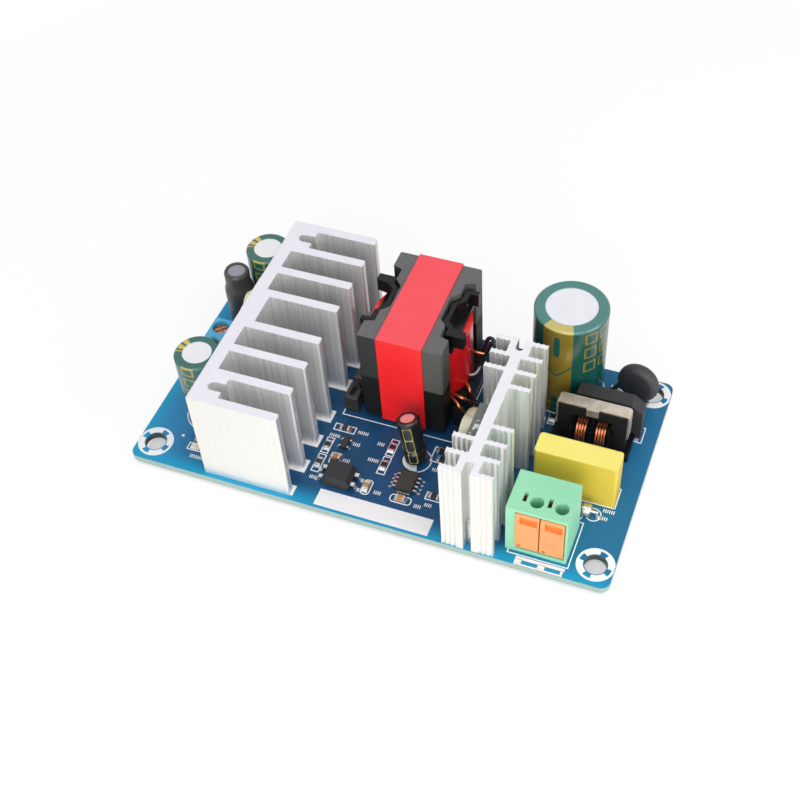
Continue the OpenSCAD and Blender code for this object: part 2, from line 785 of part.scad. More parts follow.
module transformer_winding() {
    color("#d8232a") translate([trafo_x, trafo_y, window_z0 + bobbin_t]) difference() {
        cylinder(h = window_z1 - window_z0 - 2 * bobbin_t, r = winding_r);
        translate([0, 0, -eps]) cylinder(h = core_h, r = bobbin_r + fit_gap);
    }
}

module transformer_pins() {
    color("#c9ccd0") for (p = trafo_places)
        translate([p[0], p[1], 0]) cylinder(h = board_t + 2.9, r = p[2]);
}

// Winding ends: three copper wires down to the pin rail, and three ends across to the board
module transformer_leads() {
    side = trafo_x + trafo_row / 2 + rail_w / 2 + lead_wire_r + 0.1;
    mouth_y = trafo_y - core_mouth - lead_wire_r + 0.2;
    lip_z = window_z0 + bobbin_t;
    far_x = in_sink_left - 1.6;
    foot_z = board_t + 0.18;
    paths = [
        [[trafo_x + 8.3, mouth_y, lip_z + 0.7], [side, mouth_y, lip_z], [side, mouth_y + 1.4, board_t + 1]],
        [[trafo_x + 8.3, mouth_y, lip_z + 1.7], [side, mouth_y + 2, lip_z + 0.6],
            [side + 0.8, mouth_y + 6, board_t + 0.5]],
        [[trafo_x + winding_r, trafo_y - 3.3, lip_z + 0.8], [side, trafo_y - 2.6, lip_z],
            [side, trafo_y - 1.4, board_t + 1]],
        [[trafo_x + winding_r + 0.4, trafo_y + 0.9, lip_z + 8], [side + 2, trafo_y - 0.1, lip_z + 8.6],
            [far_x - 0.6, trafo_y, foot_z]],
        [[trafo_x + winding_r + 0.6, trafo_y - 2, lip_z + 3], [side + 1.3, trafo_y, lip_z + 2.2],
            [far_x - 1.2, trafo_y - 1.7, foot_z]],
        [[trafo_x + winding_r + 0.9, trafo_y + 1.9, lip_z], [side + 2.1, trafo_y + 0.9, lip_z + 11.8],
            [far_x - 0.3, trafo_y + 1.4, lip_z + 10], [far_x, trafo_y + 2, foot_z]]
    ];
    thickness = [1, 1, 1, 0.7, 1.2, 1.7];
    color("#b87345") for (i = [0:len(paths) - 1]) wire(paths[i], thickness[i] * lead_wire_r);
}

// Capacitors

// Half section of a can with a rolled bead near its foot
function can_section(r, z0, z1) = [
    [0, z0], [r, z0], [r, bead_z], [r - 0.35, bead_z + bead_h / 2], [r, bead_z + bead_h],
    [r, z1 - 0.3], [r - 0.3, z1], [0, z1]
];

module can(d, h) {
    rotate_extrude() polygon(can_section(d / 2 - sleeve_t - fit_gap, bung_t, h - sleeve_t));
}

module can_sleeve(d, h) {
    r = d / 2;
    inner_r = r - sleeve_t;
    rim_r = (r > 6 ? 0.7 : 0.64) * r;
    outer = [
        [r, 0.2], [r, bead_z], [r - 0.35, bead_z + bead_h / 2], [r, bead_z + bead_h],
        [r, h - 0.4], [r - 0.4, h], [rim_r, h]
    ];
    inner = [
        [rim_r, h - sleeve_t], [inner_r - 0.3, h - sleeve_t], [inner_r, h - 0.3 - sleeve_t],
        [inner_r, bead_z + bead_h], [inner_r - 0.35, bead_z + bead_h / 2], [inner_r, bead_z], [inner_r, 0.2]
    ];
    rotate_extrude() polygon(concat(outer, inner));
}

module bung(d) {
    cylinder(h = bung_t, r = 0.8 * d / 2);
}

module at_bias() {
    translate([bias_x, bias_y, board_t + bias_lift])
        rotate([-bias_lean * 0.59, -bias_lean * 0.81, 0]) children();
}

module bulk_capacitor_can() {
    color("#d9dade") translate([bulk_x, bulk_y, board_t]) can(bulk_d, bulk_h);
}

module bulk_capacitor_sleeve() {
    color("#1d5a52") translate([bulk_x, bulk_y, board_t]) can_sleeve(bulk_d, bulk_h);
}

module front_capacitor_can() {
    color("#d9dade") translate([front_cap_x, front_cap_y, board_t]) can(outcap_d, outcap_h);
}

module front_capacitor_sleeve() {
    color("#2b7d74") translate([front_cap_x, front_cap_y, board_t]) can_sleeve(outcap_d, outcap_h);
}

module back_capacitor_can() {
    color("#d9dade") translate([back_cap_x, back_cap_y, board_t]) can(outcap_d, outcap_h);
}

module back_capacitor_sleeve() {
    color("#2b7d74") translate([back_cap_x, back_cap_y, board_t]) can_sleeve(outcap_d, outcap_h);
}

module bias_capacitor_can() {
    color("#e3c9cb") at_bias() can(bias_d, bias_h);
}

module bias_capacitor_sleeve() {
    color("#26262a") at_bias() can_sleeve(bias_d, bias_h);
}

module capacitor_bungs() {
    color("#2c2b2a") {
        translate([bulk_x, bulk_y, board_t]) bung(bulk_d);
        translate([front_cap_x, front_cap_y, board_t]) bung(outcap_d);
        translate([back_cap_x, back_cap_y, board_t]) bung(outcap_d);
        at_bias() bung(bias_d);
    }
}

module x_capacitor() {
    color("#f2dc5c") translate([xcap_x, xcap_y, board_t])
        linear_extrude(xcap_h) rounded_square(xcap_l, xcap_t, xcap_corner_r);
}

// A coated disc that stands on its rim along X, thickest in the middle
module coated_disc(d, t) {
    rotate([90, 0, 0]) rotate_extrude() intersection() {
        translate([0, -t / 2]) square([d / 2, t]);
        union() {
            translate([0, -t / 2]) square([d / 2 - t / 2, t]);
            translate([d / 2 - t / 2, 0]) circle(r = t / 2);
        }
    }
}

// A round leg of coating that runs down from a disc over its lead
module disc_leg(x, d, r) {
    z = -sqrt(d * d / 4 - x * x);
    translate([x, 0, z - 1]) cylinder(h = 2, r1 = r * 0.8, r2 = r);
}

module ceramic_capacitor() {
    color("#ece4c4") translate([ceramic_x, ceramic_y, ceramic_z]) rotate([0, 0, 90]) {
        coated_disc(ceramic_d, ceramic_t);
        for (s = [-1, 1]) disc_leg(s * ceramic_pitch / 2, ceramic_d, ceramic_leg_r);
    }
}

// Choke

// One U-shaped core half, from its mating face at x = 0 to its closed end at +x
module choke_half() {
    l = choke_l / 2;
    translate([0, -choke_t / 2, 0]) difference() {
        cube([l, choke_t, choke_h]);
        translate([-eps, -eps, choke_limb])
            cube([l - choke_limb + eps, choke_t + 2 * eps, choke_h - 2 * choke_limb]);
    }
}

module choke_core_right() {
    color("#343436") translate([choke_x, choke_y, choke_z]) choke_half();
}

module choke_core_left() {
    color("#343436") translate([choke_x, choke_y, choke_z]) mirror([1, 0, 0]) choke_half();
}

module choke_bobbin() {
    tube_w = choke_t + 2 * (gap / 2 + choke_tube_t);
    tube_h = choke_limb + 2 * (gap / 2 + choke_tube_t);
    inner_x = choke_inner_l / 2 - fit_gap;
    foot_x = choke_l / 2 + choke_foot_l;
    color("#232324") translate([choke_x, choke_y, 0]) difference() {
        union() {
            translate([-inner_x, -tube_w / 2, choke_axis_z - tube_h / 2])
                cube([2 * inner_x, tube_w, tube_h]);
            for (x = [-inner_x, -choke_flange_t / 2, inner_x - choke_flange_t])
                translate([x, -choke_flange_r, board_t])
                    cube([choke_flange_t, 2 * choke_flange_r, choke_axis_z + choke_flange_r - board_t]);
            for (x = [-foot_x, inner_x - choke_flange_t])
                translate([x, -choke_flange_r, board_t])
                    cube([foot_x - inner_x + choke_flange_t, 2 * choke_flange_r, choke_lift - fit_gap]);
        }
        translate([-inner_x - eps, -choke_t / 2 - gap / 2, choke_z - gap / 2])
            cube([2 * (inner_x + eps), choke_t + gap, choke_limb + gap]);
        for (p = choke_places)
            translate([p[0] - choke_x, p[1] - choke_y, board_t - eps]) cylinder(h = 1.6, r = p[2] + fit_gap);
    }
}

module choke_winding(side) {
    color("#c9713f") translate([choke_x + side * choke_coil_x - choke_coil_l / 2, choke_y, choke_axis_z])
        rotate([0, 90, 0]) difference() {
            cylinder(h = choke_coil_l, r = choke_coil_r);
            tube_w = choke_t + 2 * (gap / 2 + choke_tube_t) + 2 * fit_gap;
            tube_h = choke_limb + 2 * (gap / 2 + choke_tube_t) + 2 * fit_gap;
            translate([-tube_h / 2, -tube_w / 2, -eps]) cube([tube_h, tube_w, choke_coil_l + 2 * eps]);
        }
}

module choke_winding_left() {
    choke_winding(-1);
}

module choke_winding_right() {
    choke_winding(1);
}

// Outline of the clip in the X-Z plane: an inverted U with round shoulders
module clip_outline(l, h, r) {
    translate([-l / 2, -h]) square([l, h - r]);
    translate([-l / 2 + r, -r]) square([l - 2 * r, r]);
    for (s = [-1, 1]) translate([s * (l / 2 - r), -r]) circle(r = r);
}

module choke_clip() {
    inner_l = choke_l + 2 * fit_gap;
    leg_h = 0.72 * choke_h;
    shoulder_r = 0.9;
    clip_w = choke_t - 0.2;
    color("#cfc8c2") translate([choke_x, choke_y, choke_z + choke_h + fit_gap]) {
        rotate([90, 0, 0]) translate([0, 0, -clip_w / 2]) linear_extrude(clip_w) difference() {
            translate([0, clip_t]) clip_outline(inner_l + 2 * clip_t, leg_h, shoulder_r);
            translate([-inner_l / 2, -leg_h - 1]) square([inner_l, leg_h + 1]);
        }
        translate([-clip_tab_w / 2, -choke_t / 2 - fit_gap - clip_t, -clip_tab_h])
            cube([clip_tab_w, clip_t, clip_tab_h + clip_t]);
        translate([-clip_tab_w / 2, -choke_t / 2 - fit_gap - clip_t, 0])
            cube([clip_tab_w, choke_t / 2, clip_t]);
    }
}

module choke_pins() {
    color("#c9ccd0") for (p = choke_places)
        translate([p[0], p[1], 0]) cylinder(h = board_t + 1.5, r = p[2]);
}

// Bridge rectifier, thermistor, fuse and inductor

module bridge_rectifier_body() {
    l = bridge_l / 2;
    color("#3a3b3e") translate([bridge_x, bridge_y + bridge_t / 2, board_t + bridge_lift])
        rotate([90, 0, 0]) linear_extrude(bridge_t) polygon([
            [-l, 0], [l, 0], [l, bridge_h - bridge_chamfer * 0.8], [l - bridge_chamfer, bridge_h],
            [-l, bridge_h]
        ]);
}

module bridge_rectifier_leads() {
    color("#c9ccd0") for (p = bridge_places)
        translate([p[0], p[1], 0]) cylinder(h = board_t + bridge_lift, r = p[2]);
}

module at_ntc() {
    translate([ntc_x, ntc_y, ntc_z]) rotate([0, 0, ntc_turn]) rotate([-ntc_lean, 0, 0]) children();
}

module thermistor_disc() {
    color("#3b3b3d") at_ntc() {
        coated_disc(ntc_d, ntc_t);
        for (s = [-1, 1]) disc_leg(s * ntc_leg_x, ntc_d * 0.9, ntc_leg_r);
    }
}

module fuse_body() {
    r = fuse_d / 2;
    waist = r - 0.2;
    cap_l = 1.6;
    color("#5c4a3c") translate([fuse_x - fuse_l / 2, fuse_y, fuse_z]) rotate([0, 90, 0])
        rotate_extrude() polygon([
            [0, 0], [r - 0.3, 0], [r, 0.3], [r, cap_l], [waist, cap_l + 0.4],
            [waist, fuse_l - cap_l - 0.4], [r, fuse_l - cap_l], [r, fuse_l - 0.3],
            [r - 0.3, fuse_l], [0, fuse_l]
        ]);
}

module output_inductor_core() {
    color("#9a96a2") translate([coil_x, coil_y, board_t + 1])
        cylinder(h = coil_h - 1.3, r = coil_core_r);
}

module output_inductor_sleeve() {
    r = coil_d / 2;
    bore_r = coil_core_r + fit_gap;
    color("#1b1b1d") translate([coil_x, coil_y, board_t]) rotate_extrude() polygon([
        [0, 0], [r - 0.6, 0], [r - 0.2, 1], [r, coil_h * 0.6], [r, coil_h - 5.4], [r - 0.15, coil_h - 4.6],
        [coil_neck_r, coil_h - 3.6], [coil_neck_r, coil_h - 0.5], [coil_neck_r - 0.3, coil_h],
        [bore_r, coil_h], [bore_r, 1], [0, 1]
    ]);
}

// Round tinned leads of the two-legged parts
module wire_leads() {
    color("#c9ccd0") {
        for (p = concat(bulk_places, front_cap_places, back_cap_places, xcap_places, coil_places))
            lead(p, board_t);
        for (p = bias_places) lead(p, board_t + bias_lift - 0.1 + (p[0] - bias_x) * 0.81 * tan(bias_lean));
        for (p = ceramic_cap_places)
            lead(p, ceramic_z - sqrt(ceramic_d * ceramic_d - ceramic_pitch * ceramic_pitch) / 2 - 1);
        for (s = [-1, 1]) {
            x = fuse_x + s * fuse_pitch / 2;
            wire([[fuse_x + s * fuse_l / 2, fuse_y, fuse_z], [x, fuse_y, fuse_z], [x, fuse_y, 0]], wire_r);
        }
        for (k = [0, 1]) wire(ntc_path(k), 0.4);
    }
}

// Path of one thermistor lead from the end of its coated leg to its hole
function ntc_path(k) =
    let (
        side = 2 * k - 1,
        drop = sqrt(ntc_d * ntc_d * 0.81 / 4 - ntc_leg_x * ntc_leg_x) + 1.1,
        y = -drop * sin(ntc_lean),
        z = -drop * cos(ntc_lean),
        x = side * ntc_leg_x,
        start_x = ntc_x + x * cos(ntc_turn) - y * sin(ntc_turn),
        start_y = ntc_y + x * sin(ntc_turn) + y * cos(ntc_turn),
        foot = ntc_places[k],
        knee_z = board_t + 0.45
    )
    [
        [start_x, start_y, ntc_z + z], [start_x, start_y, knee_z], [foot[0], foot[1], knee_z],
        [foot[0], foot[1], 0]
    ];

// Input terminal: push levers in front, wire holes in the top and sprung clamps inside

module input_terminal_housing() {
    room_x = pole_x - pole_pitch / 2 - lever_w / 2 - 0.12;
    room_l = pole_pitch + lever_w + 0.24;
    color("#a5e8c3") {
        difference() {
            translate([spring_x - spring_l / 2, spring_front, board_t]) cube([spring_l, spring_w, spring_h]);
            translate([room_x, spring_front - 1, board_t + 1])
                cube([room_l, lever_room_y - spring_front + 1, lever_top + 0.15 - board_t - 1]);
            translate([room_x, lever_axle_y, lever_axle_z]) rotate([0, 90, 0])
                cylinder(h = room_l, r = lever_boss_r + 0.3);
            for (s = [-1, 1]) translate([pole_x + s * pole_pitch / 2, 0, 0]) {
                translate([wire_hole_x, wire_hole_y, wire_hole_z])
                    cylinder(h = spring_top - wire_hole_z + 1, r = wire_hole_d / 2);
                translate([test_slot_x - 0.4, wire_hole_y - 0.5, board_t + cavity_h - 1])
                    cube([0.8, 2.2, spring_h]);
                translate([-cavity_w / 2, cavity_y0, board_t - 1])
                    cube([cavity_w, cavity_y1 - cavity_y0, cavity_h + 1]);
            }
        }
        translate([room_x - 0.3, lever_axle_y, lever_axle_z]) rotate([0, 90, 0])
            cylinder(h = room_l + 0.6, r = lever_axle_r);
    }
}

// A push lever with a bored boss at its foot and a bevelled, slotted press face at its top
module input_lever(side) {
    rear = lever_front + lever_t;
    bevel = 0.5;
    color("#fdb97d") translate([pole_x + side * pole_pitch / 2 - lever_w / 2, 0, 0]) difference() {
        union() {
            rotate([90, 0, 90]) linear_extrude(lever_w) polygon([
                [lever_front, lever_axle_z], [rear, lever_axle_z], [rear, lever_top],
                [lever_front + bevel, lever_top], [lever_front, lever_top - 2 * bevel]
            ]);
            translate([0, lever_axle_y, lever_axle_z]) rotate([0, 90, 0])
                cylinder(h = lever_w, r = lever_boss_r);
        }
        translate([-eps, lever_axle_y, lever_axle_z]) rotate([0, 90, 0])
            cylinder(h = lever_w + 2 * eps, r = lever_axle_r + 0.06);
        translate([lever_w * 0.2, lever_front - eps, lever_top - 2.5]) cube([lever_w * 0.72, 0.6, 1.9]);
        translate([lever_w * 0.1, lever_front - eps, lever_axle_z + 0.2]) cube([0.7, 0.45, 0.45]);
    }
}

module input_lever_left() {
    input_lever(-1);
}

module input_lever_right() {
    input_lever(1);
}

// A bent spring strip: foot through the board, back wall, top and a sprung tongue
module input_clamp(side) {
    y1 = cavity_y1 - fit_gap;
    y0 = cavity_y0 + 0.6;
    z1 = board_t + cavity_h - fit_gap;
    foot_y = y1 - strip_t;
    color("#c8733c") translate([pole_x + side * pole_pitch / 2, 0, 0]) {
        translate([-strip_w / 2, 0, 0]) rotate([90, 0, 90]) linear_extrude(strip_w) polygon([
            [y1, board_t + 0.1], [y1, z1], [y0 + 1.6, z1], [y0, board_t + 2], [y0 + strip_t, board_t + 2],
            [y0 + 1.6 + strip_t * 0.7, z1 - strip_t], [foot_y, z1 - strip_t], [foot_y, board_t + 0.1]
        ]);
        translate([-strip_foot_w / 2, foot_y, 0]) cube([strip_foot_w, strip_t, board_t + 0.2]);
    }
}

module input_clamp_left() {
    input_clamp(-1);
}

module input_clamp_right() {
    input_clamp(1);
}

// Output terminal: screws that lift a wire clamp against a fixed contact

module output_terminal_housing() {
    room_w = cage_w + 2 * cage_gap;
    room_l = contact_x + contact_t + 0.1 - (cage_x - cage_l / 2 - cage_gap);
    color("#50bef0") difference() {
        translate([clamp_left, clamp_y, board_t]) union() {
            block(0, clamp_l, 0, clamp_w, clamp_h - clamp_w * 0.25);
            block(clamp_w * 0.08, clamp_l, 0, clamp_w * 0.62, clamp_h);
        }
        for (s = [-1, 1]) translate([0, clamp_y + s * pole_pitch / 2, 0]) {
            translate([cage_x - cage_l / 2 - cage_gap, -room_w / 2, board_t - 1])
                cube([room_l, room_w, cage_room_top - board_t + 1]);
            translate([cage_x, 0, cage_room_top - 1]) cylinder(h = 2, r = post_r + 0.05);
            translate([cage_x, 0, post_head_z]) cylinder(h = clamp_h, r = post_head_r + 0.1);
            translate([clamp_left - 1, 0, entry_z]) rotate([0, 90, 0])
                cylinder(h = clamp_wall + cage_gap + 1.5, r = entry_r);
        }
    }
}

module output_screw(side) {
    color("#c9a184") translate([cage_x, clamp_y + side * pole_pitch / 2, 0]) {
        difference() {
            translate([0, 0, post_head_z + fit_gap]) cylinder(h = post_head_h - fit_gap, r = post_head_r);
            for (a = [45, 135]) rotate([0, 0, a])
                translate([-post_head_r * 0.8, -post_cross_w / 2, clamp_top - post_sink - post_cross_depth])
                    cube([post_head_r * 1.6, post_cross_w, 2]);
        }
        translate([0, 0, post_foot_z]) cylinder(h = post_head_z - post_foot_z + 0.5, r = post_r);
    }
}

module output_screw_front() {
    output_screw(-1);
}

module output_screw_back() {
    output_screw(1);
}

module output_clamp(side) {
    color("#b9bcc0") translate([cage_x, clamp_y + side * pole_pitch / 2, cage_z]) difference() {
        translate([-cage_l / 2, -cage_w / 2, 0]) cube([cage_l, cage_w, cage_h]);
        translate([-cage_l / 2 - 1, -cage_w / 2 + cage_t, cage_t])
            cube([cage_l + 2, cage_w - 2 * cage_t, cage_h - 2 * cage_t]);
        translate([0, 0, cage_h - cage_t - 1]) cylinder(h = cage_t + 2, r = post_r + 0.06);
    }
}

module output_clamp_front() {
    output_clamp(-1);
}

module output_clamp_back() {
    output_clamp(1);
}

module output_contacts() {
    plate_x = cage_x - cage_l / 2 + 0.3;
    color("#c8a15a") for (p = clamp_places) translate([p[0] - contact_t / 2, p[1], 0]) {
        block(plate_x - contact_x, contact_w, contact_z, contact_x - plate_x + contact_t, contact_t);
        block(0, contact_w, board_t + 0.1, contact_t, contact_z - board_t);
        block(0, 0.8, 0, contact_t, board_t + 0.2);
    }
}

// Surface parts

module optocoupler_body() {
    l = opto_l / 2;
    color("#2b2b2d") translate([opto_x, opto_y + opto_w / 2, board_t + 0.1]) rotate([90, 0, 0])
        linear_extrude(opto_w) polygon([
            [-l + 0.5, 0], [l - 0.5, 0], [l, opto_h * 0.45], [l, opto_h * 0.55], [l - 0.7, opto_h],
            [-l + 0.7, opto_h], [-l, opto_h * 0.55], [-l, opto_h * 0.45]
        ]);
}

module small_outline(l, w, h) {
    translate([0, w / 2, 0]) rotate([90, 0, 0]) linear_extrude(w) polygon([
        [-l / 2 + 0.15, 0], [l / 2 - 0.15, 0], [l / 2, h / 2], [l / 2 - 0.2, h], [-l / 2 + 0.2, h],
        [-l / 2, h / 2]
    ]);
}

module control_chips() {
    color("#29292b") {
        translate([chip_x, chip_y, board_t + 0.1]) small_outline(soic_l, soic_w, soic_h);
        translate([regulator_x, regulator_y, board_t + 0.1]) small_outline(sot_l, sot_w, sot_h);
    }
}

// A gull-wing lead that leaves a body at half height and ends flat on the board
module gull_lead(reach, z, w, t) {
    translate([0, w / 2, 0]) rotate([90, 0, 0]) linear_extrude(w) polygon([
        [0, z], [reach * 0.35, z], [reach * 0.6, 0], [reach, 0], [reach, t], [reach * 0.6 + t, t],
        [reach * 0.35 + t, z + t], [0, z + t]
    ]);
}

module lead_rows(x, y, half, pitch, count, reach, z, w, t) {
    for (s = [-1, 1], k = [0:count - 1])
        translate([x + s * half, y + (k - (count - 1) / 2) * pitch, board_t]) rotate([0, 0, s > 0 ? 0 : 180])
            gull_lead(reach, z, w, t);
}

module chip_leads() {
    color("#c9ccd0") {
        lead_rows(opto_x, opto_y, opto_l / 2 + eps, 2.54, 2, 1.8, 0.1 + opto_h * 0.45, 0.9, 0.25);
        lead_rows(chip_x, chip_y, soic_l / 2 + eps, 1.1, 4, 1.5, 0.1 + soic_h / 2 - 0.1, 0.42, 0.2);
        lead_rows(regulator_x, regulator_y, sot_l / 2 + eps, 1.9, 2, 0.7, 0.1 + sot_h / 2 - 0.07, 0.4, 0.15);
    }
}

module chip_resistors() {
    color("#2f3136") for (p = resistor_places)
        translate([p[0], p[1], board_t]) rotate([0, 0, p[2]])
            translate([-chip_l / 2, -chip_w / 2, 0]) cube([chip_l, chip_w, resistor_h]);
}

module chip_capacitors() {
    color("#b7a68c") for (p = ceramic_places)
        translate([p[0], p[1], board_t]) rotate([0, 0, p[2]])
            translate([-chip_l / 2, -chip_w / 2, 0]) cube([chip_l, chip_w, ceramic_chip_h]);
}

module status_led() {
    color("#e9e6d8") translate([led_x, led_y, board_t]) {
        translate([-chip_l / 2, -chip_w / 2, 0]) cube([chip_l, chip_w, 0.4]);
        translate([-chip_l / 3, -chip_w / 2, 0.4 - eps]) cube([chip_l * 2 / 3, chip_w, 0.4]);
    }
}

circuit_board();
solder_joints();
output_heatsink();
input_heatsink();
heatsink_pins();
rectifier_body();
rectifier_tab();
rectifier_bush();
transistor_body();
transistor_leads();
device_screws();
transformer_core_top();
transformer_core_bottom();
transformer_bobbin();
transformer_winding();
transformer_tape();
transformer_pins();
transformer_leads();
bulk_capacitor_can();
bulk_capacitor_sleeve();
front_capacitor_can();
front_capacitor_sleeve();
back_capacitor_can();
back_capacitor_sleeve();
bias_capacitor_can();
bias_capacitor_sleeve();
capacitor_bungs();
wire_leads();
choke_core_left();
choke_core_right();
choke_bobbin();
choke_winding_left();
choke_winding_right();
choke_clip();
choke_pins();
bridge_rectifier_body();
bridge_rectifier_leads();
x_capacitor();
thermistor_disc();
fuse_body();
input_terminal_housing();
input_lever_left();
input_lever_right();
input_clamp_left();
input_clamp_right();
output_terminal_housing();
output_screw_front();
output_screw_back();
output_clamp_front();
output_clamp_back();
output_contacts();
output_inductor_core();
output_inductor_sleeve();
ceramic_capacitor();
optocoupler_body();
control_chips();
chip_leads();
chip_resistors();
chip_capacitors();
status_led();
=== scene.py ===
"""Dressed scene of an open-frame mains power supply module on a plain pale floor."""
import logging
import math
from dataclasses import dataclass
from enum import Enum
from typing import Callable, Dict, List, Sequence, Tuple

import bmesh
import bpy
from mathutils import Matrix, Vector


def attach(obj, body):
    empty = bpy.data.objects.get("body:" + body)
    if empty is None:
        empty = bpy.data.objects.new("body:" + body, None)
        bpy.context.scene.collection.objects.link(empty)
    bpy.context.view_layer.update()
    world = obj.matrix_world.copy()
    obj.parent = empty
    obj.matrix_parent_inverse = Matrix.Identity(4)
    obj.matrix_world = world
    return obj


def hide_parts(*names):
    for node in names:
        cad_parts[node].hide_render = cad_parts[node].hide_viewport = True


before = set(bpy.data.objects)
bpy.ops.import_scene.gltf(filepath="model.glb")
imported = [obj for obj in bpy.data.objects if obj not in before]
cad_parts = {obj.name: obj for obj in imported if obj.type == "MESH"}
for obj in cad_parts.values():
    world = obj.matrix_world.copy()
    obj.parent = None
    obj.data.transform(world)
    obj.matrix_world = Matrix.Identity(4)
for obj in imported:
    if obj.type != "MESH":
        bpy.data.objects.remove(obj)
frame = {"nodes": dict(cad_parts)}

LOG = logging.getLogger("power_supply")
MM = 0.001
WELD = 0.001 * MM
SMOOTH_ANGLE = math.radians(50.0)
EDGE_SAMPLES = 4
Rgb = Tuple[int, int, int]
Tones = Tuple[Rgb, Rgb]
Place = Tuple[float, float]
Point = Tuple[float, float, float]
Box = Tuple[float, float, float, float]
Route = Tuple[float, Tuple[Point, ...]]
Node = bpy.types.Node
Socket = bpy.types.NodeSocket
Tree = bpy.types.NodeTree
Material = bpy.types.Material
Piece = bpy.types.Object

# How far a normal leans towards an axis before its face counts as looking that way
FACING_FROM, FACING_FULL, SQUARE_ON = 0.45, 0.75, 0.9

# Sockets of a Mix node that is set to colour
MIX_FIRST, MIX_SECOND, MIX_RESULT = 6, 7, 2

SOCKET_KINDS: Dict[str, str] = {
    "Vector": "Vector", "Stretch": "Vector", "Normal": "Vector", "Dark": "Color", "Light": "Color",
    "Color": "Color", "Scale": "Float", "Depth": "Float", "Edge": "Float", "Value": "Float",
}


class Body(Enum):
    """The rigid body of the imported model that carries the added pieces."""

    BOARD = "board"


class Along(Enum):
    """Which way a chip lies on the board, as its turn in degrees."""

    X = 0
    Y = 90


class Pick(Enum):
    """What a selection is made of."""

    FACES = "FACE"
    POINTS = "VERT"


def tone(colour: Rgb) -> Tuple[float, float, float, float]:
    """Turns a display colour into the linear colour that shaders use.

    Args:
        colour: Red, green and blue from 0 to 255.

    Returns:
        The linear colour with full alpha.
    """
    def channel(value: int) -> float:
        """Gives one channel in linear light."""
        part = value / 255.0
        return part / 12.92 if part <= 0.04045 else ((part + 0.055) / 1.055) ** 2.4
    return (*[channel(value) for value in colour], 1.0)


# Shader building


def new_group(name: str, inputs: Sequence[str], outputs: Sequence[str]) -> Tuple[Tree, Node, Node]:
    """Starts a shader node group that reads a place.

    Args:
        name: The group's name.
        inputs: Names of its inputs besides the place.
        outputs: Names of its results.

    Returns:
        The group, the node of its inputs and the node of its results.
    """
    tree = bpy.data.node_groups.new(name, "ShaderNodeTree")
    for way, labels in (("INPUT", ("Vector", *inputs)), ("OUTPUT", outputs)):
        for label in labels:
            kind = "NodeSocket" + SOCKET_KINDS[label]
            tree.interface.new_socket(name=label, in_out=way, socket_type=kind)
    return tree, tree.nodes.new("NodeGroupInput"), tree.nodes.new("NodeGroupOutput")


def connect(tree: Tree, *links: Tuple[Node, object, Node, object]) -> None:
    """Joins nodes of one tree.

    Args:
        tree: The tree.
        links: For each link, the node and socket where it starts and those where it ends.
    """
    for start, out, end, into in links:
        tree.links.new(start.outputs[out], end.inputs[into])


def mottle_group() -> Tree:
    """Gives the group that drifts a colour between two tones in soft clouds.

    Returns:
        The group, built once.
    """
    name = "mottle"
    if name in bpy.data.node_groups:
        return bpy.data.node_groups[name]
    tree, source, sink = new_group(name, ("Scale", "Dark", "Light"), ("Color", "Value"))
    noise, mix = tree.nodes.new("ShaderNodeTexNoise"), tree.nodes.new("ShaderNodeMix")
    noise.inputs["Detail"].default_value = 5.0
    mix.data_type = "RGBA"
    connect(tree, (source, "Vector", noise, "Vector"), (source, "Scale", noise, "Scale"),
            (noise, 0, mix, 0), (source, "Dark", mix, MIX_FIRST), (source, "Light", mix, MIX_SECOND),
            (mix, MIX_RESULT, sink, "Color"), (noise, 0, sink, "Value"))
    return tree


def relief_group() -> Tree:
    """Gives the group that rounds sharp edges and adds a fine moulded grain.

    Returns:
        The group, built once.
    """
    name = "relief"
    if name in bpy.data.node_groups:
        return bpy.data.node_groups[name]
    tree, source, sink = new_group(name, ("Scale", "Depth", "Edge"), ("Normal",))
    noise, bump = tree.nodes.new("ShaderNodeTexNoise"), tree.nodes.new("ShaderNodeBump")
    bevel = tree.nodes.new("ShaderNodeBevel")
    bevel.samples = EDGE_SAMPLES
    noise.inputs["Detail"].default_value = 3.0
    connect(tree, (source, "Vector", noise, "Vector"), (source, "Scale", noise, "Scale"),
            (source, "Depth", bump, "Distance"), (source, "Edge", bevel, "Radius"),
            (noise, 0, bump, "Height"), (bevel, 0, bump, "Normal"), (bump, 0, sink, "Normal"))
    return tree


def drawn_group() -> Tree:
    """Gives the group of fine parallel lines that a die leaves on an extrusion.

    Returns:
        The group, built once.
    """
    name = "drawn_lines"
    if name in bpy.data.node_groups:
        return bpy.data.node_groups[name]
    tree, source, sink = new_group(
        name, ("Stretch", "Dark", "Light", "Depth", "Edge"), ("Color", "Value", "Normal"))
    kinds = ("VectorMath", "TexNoise", "Mix", "Bump", "Bevel")
    stretch, noise, mix, bump, bevel = (tree.nodes.new("ShaderNode" + kind) for kind in kinds)
    stretch.operation = "MULTIPLY"
    noise.inputs["Scale"].default_value = 1.0
    noise.inputs["Detail"].default_value = 4.0
    mix.data_type = "RGBA"
    bevel.samples = EDGE_SAMPLES
    connect(tree, (source, "Vector", stretch, 0), (source, "Stretch", stretch, 1),
            (stretch, 0, noise, "Vector"), (noise, 0, mix, 0), (source, "Dark", mix, MIX_FIRST),
            (source, "Light", mix, MIX_SECOND), (source, "Edge", bevel, "Radius"),
            (bevel, 0, bump, "Normal"), (source, "Depth", bump, "Distance"), (noise, 0, bump, "Height"),
            (mix, MIX_RESULT, sink, "Color"), (noise, 0, sink, "Value"), (bump, 0, sink, "Normal"))
    return tree


